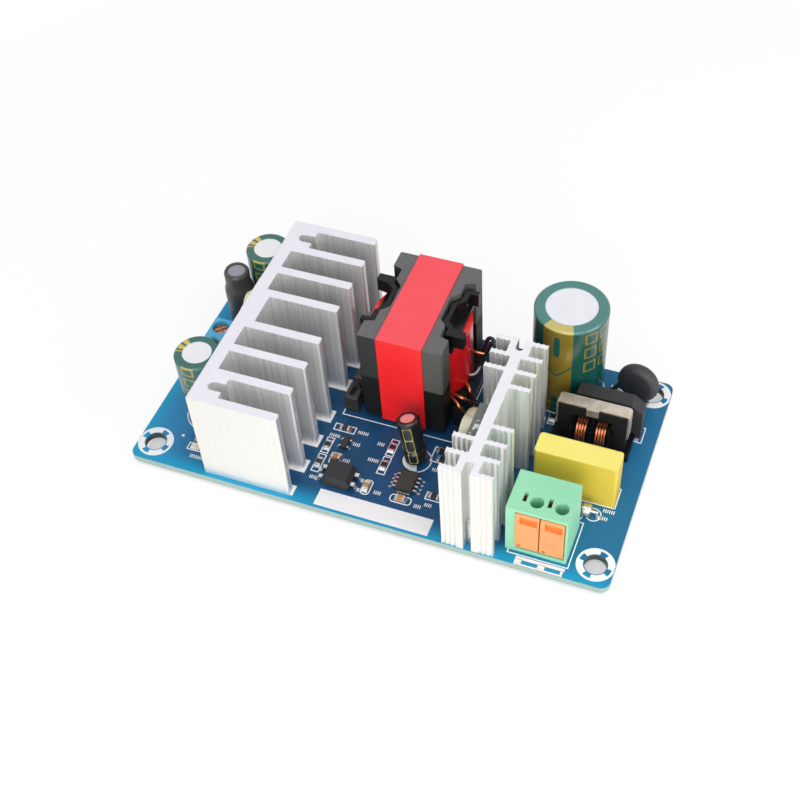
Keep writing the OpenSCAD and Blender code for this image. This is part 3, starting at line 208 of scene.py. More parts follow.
class Graph:
    """One material's node tree, with short calls for the nodes that finishes use."""

    def __init__(self, name: str) -> None:
        """Makes a material with a Principled shader and object coordinates.

        Args:
            name: The material's name.
        """
        self.material = bpy.data.materials.new(name)
        self.material.use_nodes = True
        self.tree = self.material.node_tree
        self.tree.nodes.clear()
        self.output = self.add("OutputMaterial")
        self.shader = self.add("BsdfPrincipled")
        self.link(self.shader.outputs[0], self.output.inputs["Surface"])
        self.place = self.add("TexCoord").outputs["Object"]

    def add(self, kind: str) -> Node:
        """Adds a shader node."""
        return self.tree.nodes.new("ShaderNode" + kind)

    def link(self, out: Socket, into: Socket) -> None:
        """Joins two sockets."""
        self.tree.links.new(out, into)

    def feed(self, socket: Socket, value: object) -> None:
        """Sets a socket to a plain value, or links it to another socket.

        Args:
            socket: The socket.
            value: The plain value, or the socket to link.
        """
        if isinstance(value, Socket):
            self.link(value, socket)
        else:
            socket.default_value = value

    def math(self, operation: str, *values: object) -> Socket:
        """Adds a Math node.

        Args:
            operation: Blender's name for it.
            values: A number or socket for each input that it uses.

        Returns:
            The result's socket.
        """
        node = self.add("Math")
        node.operation = operation
        for socket, value in zip(node.inputs, values):
            self.feed(socket, value)
        return node.outputs[0]

    def times(self, first: object, second: object) -> Socket:
        """Multiplies two values, or keeps what two masks share."""
        return self.math("MULTIPLY", first, second)

    def apart(self, first: object, second: object) -> Socket:
        """Gives how far apart two values are."""
        return self.math("ABSOLUTE", self.math("SUBTRACT", first, second))

    def squares(self, first: object, second: object) -> Socket:
        """Adds the squares of two values."""
        return self.math("ADD", self.math("POWER", first, 2.0), self.math("POWER", second, 2.0))

    def outside(self, value: object) -> Socket:
        """Gives 1 less a mask."""
        return self.math("SUBTRACT", 1.0, value)

    def mix(self, share: object, first: object, second: object) -> Socket:
        """Adds a colour Mix node.

        Args:
            share: How much of the second colour shows.
            first: The colour at 0.
            second: The colour at 1.

        Returns:
            The mixed colour's socket.
        """
        node = self.add("Mix")
        node.data_type = "RGBA"
        for socket, value in ((0, share), (MIX_FIRST, first), (MIX_SECOND, second)):
            self.feed(node.inputs[socket], value)
        return node.outputs[MIX_RESULT]

    def lay(self, share: object, under: object, colour: Rgb) -> Socket:
        """Lays a plain colour over another by a mask."""
        return self.mix(share, under, tone(colour))

    def ramp(self, value: object, low: float, high: float) -> Socket:
        """Adds a smooth step that stays within 0 and 1.

        Args:
            value: A number or socket.
            low: Where the step starts.
            high: Where it ends.

        Returns:
            The step's socket.
        """
        node = self.add("MapRange")
        node.interpolation_type = "SMOOTHSTEP"
        for name, given in (("Value", value), ("From Min", low), ("From Max", high)):
            self.feed(node.inputs[name], given)
        return node.outputs[0]

    def step(self, value: object, middle: float, soft: float) -> Socket:
        """Steps a value in metres about a middle in millimetres, over a soft width to each side."""
        return self.ramp(value, (middle - soft) * MM, (middle + soft) * MM)

    def rise(self, value: object, ends: Place) -> Socket:
        """Steps a value in metres from 0 at one end to 1 at the other, both in millimetres."""
        return self.ramp(value, ends[0] * MM, ends[1] * MM)

    def inside(self, value: object, centre: float, half: float, soft: float = 0.03) -> Socket:
        """Gives 1 where a value in metres is within half a width of a centre, both in millimetres."""
        return self.outside(self.step(self.apart(value, centre * MM), half, soft))

    def between(self, value: object, ends: Place) -> Socket:
        """Gives 1 where a value in metres is between two ends in millimetres."""
        return self.inside(value, sum(ends) / 2, (ends[1] - ends[0]) / 2)

    def group(self, tree: Tree, **values: object) -> Node:
        """Places a shared node group that reads this material's object coordinates.

        Args:
            tree: The group.
            values: A value or socket for each of its inputs, by name.

        Returns:
            The group's node.
        """
        node = self.add("Group")
        node.node_tree = tree
        self.feed(node.inputs["Vector"], self.place)
        for name, value in values.items():
            self.feed(node.inputs[name], value)
        return node

    def clouds(self, scale: float, tones: Tones) -> Socket:
        """Gives a colour that drifts between two tones.

        Args:
            scale: How fine the clouds are.
            tones: The dark and the light tone.

        Returns:
            The colour's socket.
        """
        dark, light = (tone(colour) for colour in tones)
        return self.group(mottle_group(), Scale=scale, Dark=dark, Light=light).outputs["Color"]

    def axes(self, foot: Point = (0.0, 0.0, 0.0), lean: Place = (0.0, 0.0)) -> Sequence[Socket]:
        """Gives x, y and z in metres in the frame of a part that may lean.

        Args:
            foot: Where the part stands, in millimetres.
            lean: Its turn about X and about Y, in degrees.

        Returns:
            The three sockets.
        """
        mapping, split = self.add("Mapping"), self.add("SeparateXYZ")
        mapping.vector_type = "TEXTURE"
        mapping.inputs["Location"].default_value = [value * MM for value in foot]
        mapping.inputs["Rotation"].default_value = (*[math.radians(angle) for angle in lean], 0.0)
        self.link(self.place, mapping.inputs["Vector"])
        self.link(mapping.outputs[0], split.inputs[0])
        return list(split.outputs)

    def facing(self, axis: int) -> Socket:
        """Masks the faces that look along one axis.

        Args:
            axis: 0 for faces towards +X, 1 for +Y, 2 for level tops.

        Returns:
            A socket that is 1 on such faces and 0 on faces square to them.
        """
        split = self.add("SeparateXYZ")
        self.link(self.add("NewGeometry").outputs["Normal"], split.inputs[0])
        return self.ramp(split.outputs[axis], FACING_FROM, FACING_FULL)

    def roughen(self, roughness: float, metallic: float = 0.0, specular: float = 0.5) -> None:
        """Sets the plain shader values.

        Args:
            roughness: From 0 for a mirror to 1.
            metallic: Share of metal.
            specular: Strength of the surface gloss.
        """
        self.shader.inputs["Roughness"].default_value = roughness
        self.shader.inputs["Metallic"].default_value = metallic
        self.shader.inputs["Specular IOR Level"].default_value = specular


@dataclass(frozen=True)
class Plastic:
    """A moulded or dipped finish with soft colour drift, a fine grain and rounded edges."""

    name: str
    dark: Rgb
    light: Rgb
    roughness: float = 0.4
    clouds: float = 250.0
    grain: float = 4000.0
    depth: float = 0.01
    edge: float = 0.12
    coat: float = 0.0
    metallic: float = 0.0
    specular: float = 0.5
    coat_roughness: float = 0.12

    def tint(self, graph: Graph) -> Socket:
        """Gives the base colour, which finer finishes vary from place to place."""
        return graph.clouds(self.clouds, (self.dark, self.light))

    def material(self) -> Material:
        """Builds the finish.

        Returns:
            The material.
        """
        graph = Graph(self.name)
        graph.roughen(self.roughness, self.metallic, self.specular)
        graph.shader.inputs["Coat Weight"].default_value = self.coat
        graph.shader.inputs["Coat Roughness"].default_value = self.coat_roughness
        relief = graph.group(relief_group(), Scale=self.grain, Depth=self.depth * MM, Edge=self.edge * MM)
        graph.link(relief.outputs["Normal"], graph.shader.inputs["Normal"])
        graph.link(self.tint(graph), graph.shader.inputs["Base Color"])
        return graph.material


@dataclass(frozen=True)
class Metal:
    """A metal with lines drawn along one axis."""

    name: str
    dark: Rgb
    light: Rgb
    roughness: float
    stretch: Point
    depth: float = 0.01
    edge: float = 0.12
    metallic: float = 1.0
    drift: Place = (0.25, 0.12)

    def tint(self, graph: Graph, lines: Node) -> Socket:
        """Gives the base colour, here that of the lines."""
        return lines.outputs["Color"]

    def gloss(self, graph: Graph, lines: Node) -> Socket:
        """Gives the roughness, which drifts with the lines."""
        share, drop = self.drift
        return graph.math("MULTIPLY_ADD", lines.outputs["Value"], share, self.roughness - drop)

    def material(self) -> Material:
        """Builds the metal.

        Returns:
            The material.
        """
        graph = Graph(self.name)
        graph.roughen(self.roughness, self.metallic)
        lines = graph.group(
            drawn_group(), Stretch=self.stretch, Dark=tone(self.dark), Light=tone(self.light),
            Depth=self.depth * MM, Edge=self.edge * MM)
        graph.link(lines.outputs["Normal"], graph.shader.inputs["Normal"])
        graph.link(self.tint(graph, lines), graph.shader.inputs["Base Color"])
        graph.link(self.gloss(graph, lines), graph.shader.inputs["Roughness"])
        return graph.material


@dataclass(frozen=True)
class Extrusion(Metal):
    """Extruded aluminium: broad grey streaks on the sides, sawn tops painted paler as painted top light and
    a front painted plain and pale as a painted reflection.
    """

    # Paler tones of the level tops, painted top light
    top: Tones = ((214, 212, 222), (232, 230, 240))
    lit_top_clouds: float = 300.0
    band: Place = (0.3, 0.7)
    # Faces in front of this y take the plain pale tone as a painted reflection
    plate: float = -90.0
    plate_soft: float = 0.1
    plain: Rgb = (242, 240, 234)
    front_reflection_share: float = 0.85
    sheen: float = 0.2

    def tint(self, graph: Graph, lines: Node) -> Socket:
        """Gives the base colour of the sides, the front and the tops, with painted top light on the tops
        and a painted reflection on the front.

        Args:
            graph: The metal's graph.
            lines: The node of its drawn lines.

        Returns:
            The colour's socket.
        """
        streak = graph.ramp(lines.outputs["Value"], *self.band)
        side = graph.lay(streak, tone(self.dark), self.light)
        _, y, _ = graph.axes()
        front = graph.outside(graph.step(y, self.plate, self.plate_soft))
        # Painted reflection: the front face is laid over with the plain pale tone
        side = graph.lay(graph.times(front, self.front_reflection_share), side, self.plain)
        # Painted top light: the level tops take the paler top tones
        return graph.mix(graph.facing(2), side, graph.clouds(self.lit_top_clouds, self.top))

    def gloss(self, graph: Graph, lines: Node) -> Socket:
        """Gives the roughness, which is lower on the faces towards +X."""
        drawn = super().gloss(graph, lines)
        return graph.math("SUBTRACT", drawn, graph.times(graph.facing(0), self.sheen))


@dataclass(frozen=True)
class BoardLaminate(Plastic):
    """Blue solder mask over copper pours, with pale sawn sides, painted reflection at both ends, a painted
    shadow by the transformer's right side, painted light along two edges and painted shade in the hole
    walls.
    """

    # Tones laid by place: copper pours, painted reflection at both ends, a painted shadow by the
    # transformer's right side, painted light along the front and left edges and painted shade in the
    # mounting holes
    pour_and_reflection: Rgb = (34, 116, 160)
    glow: Rgb = (30, 160, 206)
    pale: Rgb = (52, 144, 198)
    deep: Rgb = (12, 30, 52)
    side: Rgb = (178, 200, 190)
    hole_wall_shade: Rgb = (70, 78, 74)
    pours: Place = (130.0, 0.22)
    right: Place = (24.0, 44.0)
    left: Place = (-50.0, -34.0)
    reflection_share: float = 0.85
    # Centre, half width and soft edge of the painted shadow along x and along y
    painted_shadow_x: Point = (15.5, 5.0, 3.0)
    painted_shadow_y: Point = (4.0, 8.0, 4.0)
    painted_shadow_share: float = 0.7
    corner: Place = (-53.5, -28.6)
    lit_edge_reach: Place = (4.0, 5.5)
    glow_share: float = 0.9
    hole: Point = (49.6, 23.5, 2.6)

    def mask(self, graph: Graph, x: Socket, y: Socket) -> Socket:
        """Mixes the mask's blues by place: copper pours, painted reflection at both ends, a painted shadow
        spot and painted light along two edges.

        Args:
            graph: The board's graph.
            x: Place along the board.
            y: Place across the board.

        Returns:
            The colour of the top.
        """
        pours, shade = graph.add("TexVoronoi"), graph.add("SeparateColor")
        pours.distance = "CHEBYCHEV"
        pours.inputs["Scale"].default_value = self.pours[0]
        graph.link(graph.place, pours.inputs["Vector"])
        graph.link(pours.outputs["Color"], shade.inputs[0])
        base = graph.lay(graph.times(shade.outputs[0], self.pours[1]), super().tint(graph), self.pour_and_reflection)
        # Painted reflection: lighter towards the right and the left end
        right = graph.rise(x, self.right)
        left = graph.outside(graph.rise(x, self.left))
        # Painted shadow by the transformer's right side
        painted_shadow = graph.times(graph.inside(x, *self.painted_shadow_x), graph.inside(y, *self.painted_shadow_y))
        # Painted light along the left and the front edge
        edges = [graph.outside(graph.rise(way, (start, start + reach)))
                 for way, start, reach in zip((x, y), self.corner, self.lit_edge_reach)]
        lit = graph.math("MAXIMUM", *edges)
        for area, share, colour in (
                (right, self.reflection_share, self.pour_and_reflection), (left, self.reflection_share, self.pale),
                (painted_shadow, self.painted_shadow_share, self.deep), (lit, self.glow_share, self.glow)):
            base = graph.lay(graph.times(area, share), base, colour)
        return base

    def tint(self, graph: Graph) -> Socket:
        """Gives the base colour of the top, the sawn sides and the hole walls, whose dark tone is painted
        shade.

        Args:
            graph: The board's graph.

        Returns:
            The colour's socket.
        """
        x, y, _ = graph.axes()
        hole_x, hole_y, radius = self.hole
        along = graph.math("SUBTRACT", graph.math("ABSOLUTE", x), hole_x * MM)
        across = graph.math("SUBTRACT", graph.math("ABSOLUTE", y), hole_y * MM)
        in_hole = graph.math("LESS_THAN", graph.squares(along, across), (radius * MM) ** 2)
        # Painted shade on the walls of the mounting holes
        cut = graph.lay(in_hole, tone(self.side), self.hole_wall_shade)
        return graph.mix(graph.facing(2), cut, self.mask(graph, x, y))


@dataclass(frozen=True)
class Sleeve(Plastic):
    """A shrink sleeve with a gold stripe down one side, dark windows in it, columns of open boxes and a
    crown painted lighter as painted top light.
    """

    foot: Point = (0.0, 0.0, 1.6)
    lean: Place = (0.0, 0.0)
    turn: float = 0.0
    half: float = 0.45
    soft: float = 0.02
    gold: Tones = ((122, 104, 34), (196, 180, 92))
    gold_clouds: float = 160.0
    windows: Tuple[float, ...] = ()
    window: Place = (0.105, 3.2)
    window_power: float = 4.0
    window_edge: Place = (0.8, 1.2)
    arrow: float = -1.0
    bend: float = 7.5
    line: Place = (0.25, 0.08)
    reach: Place = (-1.0, 60.0)
    crown: float = 60.0
    crown_edge: Place = (0.3, 0.2)
    # Lighter film and stripe tones over the crown, painted top light
    lit_crown_tones: Tones = ((40, 106, 96), (214, 192, 100))
    bars: float = 0.0
    bar_gap: Place = (-0.6, -0.4)
    marks: Tuple[float, ...] = ()
    mark: Box = (0.19, 1.5, 0.42, 4.2)
    mark_soft: float = 0.06
    mark_span: Place = (0.2, 25.1)

    def open_marks(self, graph: Graph, around: Socket, z: Socket, turn: float) -> Socket:
        """Masks a column of plain open boxes printed one above the other.

        Args:
            graph: The sleeve's graph.
            around: Angle from the stripe's middle.
            z: Height over the foot.
            turn: Angle of the column from the stripe.

        Returns:
            The mask.
        """
        half, rise, stroke, pitch = self.mark
        across = graph.math("DIVIDE", graph.apart(around, turn), half / rise)
        step = graph.math("WRAP", z, pitch * MM, 0.0)
        along = graph.math("DIVIDE", graph.apart(step, pitch / 2 * MM), MM)
        ring = graph.apart(graph.math("MAXIMUM", across, along), rise - stroke / 2)
        line = graph.outside(graph.ramp(ring, stroke / 2 - self.mark_soft, stroke / 2 + self.mark_soft))
        return graph.times(line, graph.between(z, self.mark_span))

    def opening(self, graph: Graph, away: Socket, z: Socket, height: float) -> Socket:
        """Masks one window with rounded corners.

        Args:
            graph: The sleeve's graph.
            away: Angle from the stripe's middle.
            z: Height over the foot.
            height: Height of the window's middle in millimetres.

        Returns:
            The mask.
        """
        half, rise = self.window
        across = graph.math("DIVIDE", away, half)
        along = graph.math("DIVIDE", graph.apart(z, height * MM), rise * MM)
        shares = [graph.math("POWER", share, self.window_power) for share in (across, along)]
        return graph.outside(graph.ramp(graph.math("ADD", *shares), *self.window_edge))

    def tint(self, graph: Graph) -> Socket:
        """Gives the base colour of the film, the stripe and the marks, with painted top light over the
        crown.

        Args:
            graph: The sleeve's graph.

        Returns:
            The colour's socket.
        """
        x, y, z = graph.axes(self.foot, self.lean)
        turned = graph.math("SUBTRACT", graph.math("ARCTAN2", y, x), math.radians(self.turn))
        around = graph.math("WRAP", turned, math.pi, -math.pi)
        away = graph.math("ABSOLUTE", around)
        show = graph.outside(graph.ramp(away, self.half - self.soft, self.half + self.soft))
        show = graph.times(show, graph.between(z, self.reach))
        for height in self.windows:
            show = graph.times(show, graph.outside(self.opening(graph, away, z, height)))
        if self.arrow > 0.0:
            bent = graph.math("SUBTRACT", z, graph.times(away, self.bend * MM))
            show = graph.times(show, graph.outside(graph.inside(bent, self.arrow, *self.line)))
        if self.bars > 0.0:
            wave = graph.math("SINE", graph.times(around, self.bars))
            show = graph.times(show, graph.ramp(wave, *self.bar_gap))
        for turn in self.marks:
            show = graph.math("MAXIMUM", show, self.open_marks(graph, around, z, turn))
        # Painted top light: film and stripe turn lighter above the crown
        over = graph.step(z, self.crown - self.crown_edge[0], self.crown_edge[1])
        film = graph.lay(over, super().tint(graph), self.lit_crown_tones[0])
        stripe = graph.lay(over, graph.clouds(self.gold_clouds, self.gold), self.lit_crown_tones[1])
        return graph.mix(show, film, stripe)


@dataclass(frozen=True)
class TopLitPlastic(Plastic):
    """A finish whose tops are painted lighter than its upright faces, as painted top light and painted
    sheen.
    """

    # Tones of the upright faces; the tops are painted lighter as painted top light
    side: Tones = ((60, 60, 60), (80, 80, 80))

    def shaded_sides(self, graph: Graph) -> Socket:
        """Gives the colour of the upright faces, which stay darker than the painted top light on the tops.
        """
        return graph.clouds(self.clouds, self.side)

    def tint(self, graph: Graph) -> Socket:
        """Gives the base colour, with painted top light on the tops and the side tones on the upright
        faces.
        """
        return graph.mix(graph.facing(2), self.shaded_sides(graph), super().tint(graph))


@dataclass(frozen=True)
class LeftShadedFerrite(TopLitPlastic):
    """Ground ferrite with tops painted lighter as painted top light and upright faces painted darker on the
    left of the core as painted shade.
    """

    # Painted shade tone of the upright faces, fading out across this span of x
    left: Rgb = (40, 44, 41)
    reach: Place = (-2.0, 4.0)

    def shaded_sides(self, graph: Graph) -> Socket:
        """Gives the colour of the upright faces, painted darker to the left as painted shade.

        Args:
            graph: The finish's graph.

        Returns:
            The colour's socket.
        """
        x, _, _ = graph.axes()
        share = graph.rise(x, self.reach)
        return graph.mix(share, tone(self.left), super().shaded_sides(graph))


@dataclass(frozen=True)
class SlottedCase(Plastic):
    """A terminal case whose narrow test slots show the copper strip behind them."""

    slots: Tuple[float, ...] = (34.26, 39.34)
    half: float = 0.42
    across: Place = (-21.8, 1.12)
    below: Place = (14.6, 0.2)
    strip: Rgb = (176, 92, 44)

    def tint(self, graph: Graph) -> Socket:
        """Gives the base colour, with the strip low in the slots.

        Args:
            graph: The case's graph.

        Returns:
            The colour's socket.
        """
        x, y, z = graph.axes()
        low = graph.times(graph.outside(graph.step(z, *self.below)), graph.inside(y, *self.across))
        colour = super().tint(graph)
        for slot in self.slots:
            colour = graph.lay(graph.times(low, graph.inside(x, slot, self.half)), colour, self.strip)
        return colour


@dataclass(frozen=True)
class LeverFace(Plastic):
    """Lever resin, painted deeper in tone inside the press slot and dark inside the small hole as painted
    shade.
    """

    recess: Place = (-25.98, -25.8)
    slot: Place = (13.15, 0.95)
    # Painted shade inside the press slot and inside the small hole
    slot_shade: Rgb = (240, 132, 54)
    hole: Place = (4.82, 0.24)
    hole_shade: Rgb = (52, 30, 18)

    def tint(self, graph: Graph) -> Socket:
        """Gives the base colour, with painted shade behind the front face.

        Args:
            graph: The lever's graph.

        Returns:
            The colour's socket.
        """
        _, y, z = graph.axes()
        deep = graph.rise(y, self.recess)
        colour = super().tint(graph)
        for place, shade in ((self.slot, self.slot_shade), (self.hole, self.hole_shade)):
            colour = graph.lay(graph.times(deep, graph.inside(z, *place)), colour, shade)
        return colour


@dataclass(frozen=True)
class Capped(Plastic):
    """A resin barrel along X between two bright metal end caps."""

    centre_x: float = 41.5
    start: Place = (2.1, 0.05)
    metal: Rgb = (216, 214, 210)

    def tint(self, graph: Graph) -> Socket:
        """Gives the base colour and makes the ends metallic.

        Args:
            graph: The barrel's graph.

        Returns:
            The colour's socket.
        """
        x, _, _ = graph.axes((self.centre_x, 0.0, 0.0))
        ends = graph.step(graph.math("ABSOLUTE", x), *self.start)
        graph.link(ends, graph.shader.inputs["Metallic"])
        return graph.lay(ends, super().tint(graph), self.metal)


@dataclass(frozen=True)
class Greased(Plastic):
    """Device resin with white specks of heat paste near the face that meets the heatsink."""

    near: Place = (19.5, 23.1)
    specks: float = 900.0
    crowd: float = 0.14
    cut: Place = (0.66, 0.7)
    paste: Rgb = (232, 234, 236)

    def tint(self, graph: Graph) -> Socket:
        """Gives the base colour, with more specks towards the face.

        Args:
            graph: The resin's graph.

        Returns:
            The colour's socket.
        """
        x, _, _ = graph.axes()
        near = graph.rise(x, self.near)
        specks = graph.group(mottle_group(), Scale=self.specks).outputs["Value"]
        paste = graph.ramp(graph.math("ADD", specks, graph.times(near, self.crowd)), *self.cut)
        return graph.lay(paste, super().tint(graph), self.paste)


def finishes() -> Dict[str, Material]:
    """Makes every finish of the module.

    Returns:
        The materials by name.
    """
    upright = (2400.0, 2400.0, 14.0)
    # After the name and the two tones, values without a name follow the order of the class's fields
    made = [
        # The mask's blues include painted reflection, a painted shadow, painted edge light and painted
        # shade in the holes
        BoardLaminate("board_mask", (22, 66, 106), (30, 80, 126), 0.36, 90.0, 1500.0, 0.004, 0.15,
                      specular=0.28, side=(160, 182, 174)),
        Plastic("print_ink", (246, 248, 250), (254, 254, 255), 0.6, 900.0, 6000.0, 0.004, 0.0),
        Metal("soft_solder", (200, 203, 208), (232, 234, 236), 0.24, (900.0, 900.0, 900.0), 0.03, 0.1),
        # Both heat sinks carry painted top light on their tops and a painted reflection on their fronts
        Extrusion("mill_aluminium", (218, 219, 220), (242, 242, 240), 0.36, upright, 0.008, 0.18, 0.55,
                  top=((232, 230, 240), (246, 244, 253)), plate=-27.2),
        Extrusion("fin_aluminium", (206, 209, 206), (244, 245, 243), 0.34, upright, 0.008, 0.12, 0.5,
                  top=((236, 235, 242), (250, 249, 254)), plate=-28.1, sheen=0.0),
        Metal("tinned", (205, 207, 210), (235, 236, 238), 0.25, (1500.0, 1500.0, 1500.0), 0.01, 0.06, 0.9),
        Metal("plated_steel", (176, 164, 150), (236, 224, 210), 0.36, (600.0, 600.0, 600.0), 0.03, 0.08,
              0.8),
        Plastic("capped_screw", (206, 200, 168), (236, 232, 206), 0.34, 500.0, 1600.0, 0.02, 0.2, 0.2),
        Plastic("device_epoxy", (34, 34, 36), (50, 50, 53), 0.55, 900.0, 5200.0, 0.02, 0.12),
        Greased("greased_epoxy", (96, 96, 97), (132, 132, 133), 0.55, 900.0, 5200.0, 0.02, 0.12),
        Plastic("chip_epoxy", (48, 47, 46), (64, 62, 60), 0.5, 900.0, 6500.0, 0.015, 0.06),
        Plastic("nylon_bush", (226, 216, 186), (242, 234, 208), 0.5),
        # Core tops painted lighter as painted top light, the left of the sides painted darker as painted
        # shade
        LeftShadedFerrite("ferrite_top", (84, 83, 84), (112, 110, 112), 0.5, 1100.0, 3600.0, 0.03, 0.12,
                      side=((72, 74, 70), (92, 94, 89))),
        # Lower core half: the same ferrite painted near black as painted shade
        Plastic("shaded_ferrite_low", (12, 13, 12), (23, 24, 22), 0.5, 1100.0, 3600.0, 0.03, 0.12, specular=0.25),
        Plastic("choke_ferrite", (16, 16, 17), (30, 30, 31), 0.45, 1100.0, 3600.0, 0.03, 0.15),
        Plastic("rod_ferrite", (146, 141, 156), (176, 171, 186), 0.5, 1300.0, 4000.0, 0.03, 0.1),
        Plastic("bobbin_resin", (13, 13, 14), (26, 26, 28), 0.24, 600.0, 3000.0, 0.012, 0.15, specular=0.3),
        Plastic("foot_resin", (38, 34, 30), (58, 53, 47), 0.36, 600.0, 3000.0, 0.012, 0.15, 0.2),
        # Tape tops painted pink as a painted sheen over the red of the sides
        TopLitPlastic("core_tape", (248, 66, 78), (255, 88, 98), 0.36, 140.0, 700.0, 0.03, 0.1, 0.15,
               side=((240, 22, 22), (255, 36, 34))),
        Plastic("coil_tape", (244, 16, 24), (255, 40, 46), 0.2, 160.0, 500.0, 0.05, 0.1, 0.6),
        Metal("copper_wire", (196, 110, 76), (232, 156, 120), 0.3, (1200.0, 1200.0, 1200.0), 0.01, 0.05),
        Plastic("pale_wire", (176, 170, 168), (206, 200, 197), 0.4, 900.0, 2000.0, 0.01, 0.0),
        Plastic("tube_sleeve", (20, 20, 21), (40, 40, 41), 0.4, 900.0, 3000.0, 0.02, 0.0),
        Plastic("bulk_can", (232, 233, 240), (247, 247, 253), 0.34, 300.0, 2500.0, 0.006, 0.2, 0.0, 0.5),
        Plastic("output_can", (240, 240, 246), (253, 253, 255), 0.34, 300.0, 2500.0, 0.006, 0.2, 0.0, 0.5),
        Plastic("bias_can", (238, 178, 176), (250, 200, 198), 0.36, 300.0, 2500.0, 0.006, 0.1, 0.0, 0.3),
        # The bulk sleeve's crown tones are painted top light
        Sleeve("bulk_sleeve", (10, 66, 58), (18, 92, 82), 0.26, 120.0, 900.0, 0.01, 0.3, 0.4,
               foot=(31.1, 19.7, 1.6), turn=-96.0, half=0.43, gold=((98, 82, 20), (146, 126, 44)),
               windows=(2.3, 20.8), window=(0.09, 2.9), arrow=12.0, crown=25.6,
               lit_crown_tones=((66, 128, 124), (204, 186, 108)), marks=(0.94, 1.42), mark_span=(12.4, 25.1)),
        Sleeve("bias_sleeve", (16, 16, 17), (32, 32, 33), 0.28, 300.0, 900.0, 0.008, 0.12, 0.4,
               foot=(6.6, -10.1, 2.17), lean=(-8.85, -12.15), turn=-78.0, half=0.4,
               gold=((150, 140, 60), (196, 190, 110)), windows=(2.1, 5.2, 8.3), window=(0.34, 1.42),
               reach=(0.6, 9.8)),
        Plastic("bung_rubber", (34, 34, 34), (48, 48, 47), 0.7),
        # X capacitor tops painted paler than the sides as painted top light
        TopLitPlastic("yellow_case", (246, 230, 108), (254, 243, 138), 0.42, 160.0, 2600.0, 0.008, 0.4,
               side=((224, 194, 60), (238, 210, 78))),
        Plastic("dark_resin", (42, 44, 47), (60, 62, 65), 0.55, 900.0, 2400.0, 0.05, 0.2),
        Capped("fuse_resin", (96, 80, 66), (138, 118, 98), 0.3),
        SlottedCase("green_polyamide", (144, 217, 176), (164, 230, 192), 0.42, 140.0, 2600.0, 0.006, 0.18),
        # Levers with painted shade in the press slot and the small hole
        LeverFace("orange_polyamide", (240, 150, 86), (250, 168, 106), 0.42, 200.0, 2600.0, 0.006, 0.15),
        Metal("contact_strip", (168, 92, 44), (208, 128, 72), 0.35, (900.0, 900.0, 60.0)),
        Plastic("blue_polyamide", (74, 186, 236), (102, 212, 250), 0.4, 160.0, 2600.0, 0.006, 0.2),
        Metal("terminal_screw", (168, 84, 70), (232, 196, 182), 0.3, (700.0, 2400.0, 700.0)),
        Plastic("black_sleeve", (60, 58, 56), (84, 82, 79), 0.34, 300.0, 1200.0, 0.02, 0.2),
        Plastic("cream_resin", (226, 218, 178), (244, 240, 208), 0.36, 400.0, 1600.0, 0.03, 0.1, 0.3),
        Plastic("resistor_glaze", (26, 26, 29), (46, 46, 50), 0.3, 900.0, 3000.0, 0.01, 0.06, 0.3),
        Plastic("chip_ceramic", (176, 124, 76), (212, 162, 108), 0.45, 900.0, 3000.0, 0.01, 0.06),
        Plastic("lamp_resin", (224, 218, 196), (244, 240, 224), 0.3),
    ]
    # The output sleeves keep the default crown tones, painted top light
    for name, foot in (("front_sleeve", (-41.4, -12.2, 1.6)), ("back_sleeve", (-40.4, 21.8, 1.6))):
        made.append(Sleeve(
            name, (22, 84, 76), (42, 118, 106), 0.26, 120.0, 900.0, 0.01, 0.2, 0.4, foot=foot, turn=168.0,
            windows=(5.0, 14.0), window=(0.2, 2.4), crown=20.0, bars=15.0, marks=(1.75,),
            mark=(0.3, 1.15, 0.36, 3.4), mark_span=(6.8, 19.95)))
    return {finish.name: finish.material() for finish in made}


FINISH_NODES: Dict[str, Sequence[str]] = {
    "board_mask": ["circuit_board"], "soft_solder": ["solder_joints"],
    "mill_aluminium": ["output_heatsink"], "fin_aluminium": ["input_heatsink"],
    "tinned": ["heatsink_pins", "rectifier_tab", "transistor_leads", "transformer_pins", "wire_leads",
        "choke_pins", "bridge_rectifier_leads", "chip_leads"],
    "device_epoxy": ["rectifier_body", "bridge_rectifier_body", "optocoupler_body"],
    "nylon_bush": ["rectifier_bush"], "greased_epoxy": ["transistor_body"],
    "capped_screw": ["device_screws"], "ferrite_top": ["transformer_core_top"],
    "shaded_ferrite_low": ["transformer_core_bottom"], "bobbin_resin": ["transformer_bobbin", "choke_bobbin"],
    "coil_tape": ["transformer_winding"], "core_tape": ["transformer_tape"],
    "copper_wire": ["transformer_leads", "choke_winding_left", "choke_winding_right"],
    "bulk_can": ["bulk_capacitor_can"], "bulk_sleeve": ["bulk_capacitor_sleeve"],
    "output_can": ["front_capacitor_can", "back_capacitor_can"],
    "front_sleeve": ["front_capacitor_sleeve"], "back_sleeve": ["back_capacitor_sleeve"],
    "bias_can": ["bias_capacitor_can"], "bias_sleeve": ["bias_capacitor_sleeve"],
    "bung_rubber": ["capacitor_bungs"], "choke_ferrite": ["choke_core_left", "choke_core_right"],
    "plated_steel": ["choke_clip", "output_clamp_front", "output_clamp_back"],
    "yellow_case": ["x_capacitor"], "dark_resin": ["thermistor_disc"], "fuse_resin": ["fuse_body"],
    "green_polyamide": ["input_terminal_housing"],
    "orange_polyamide": ["input_lever_left", "input_lever_right"],
    "contact_strip": ["input_clamp_left", "input_clamp_right", "output_contacts"],
    "blue_polyamide": ["output_terminal_housing"],
    "terminal_screw": ["output_screw_front", "output_screw_back"],
    "rod_ferrite": ["output_inductor_core"], "black_sleeve": ["output_inductor_sleeve"],
    "cream_resin": ["ceramic_capacitor"], "chip_epoxy": ["control_chips"],
    "resistor_glaze": ["chip_resistors"], "chip_ceramic": ["chip_capacitors"],
    "lamp_resin": ["status_led"],
}


# Mesh building


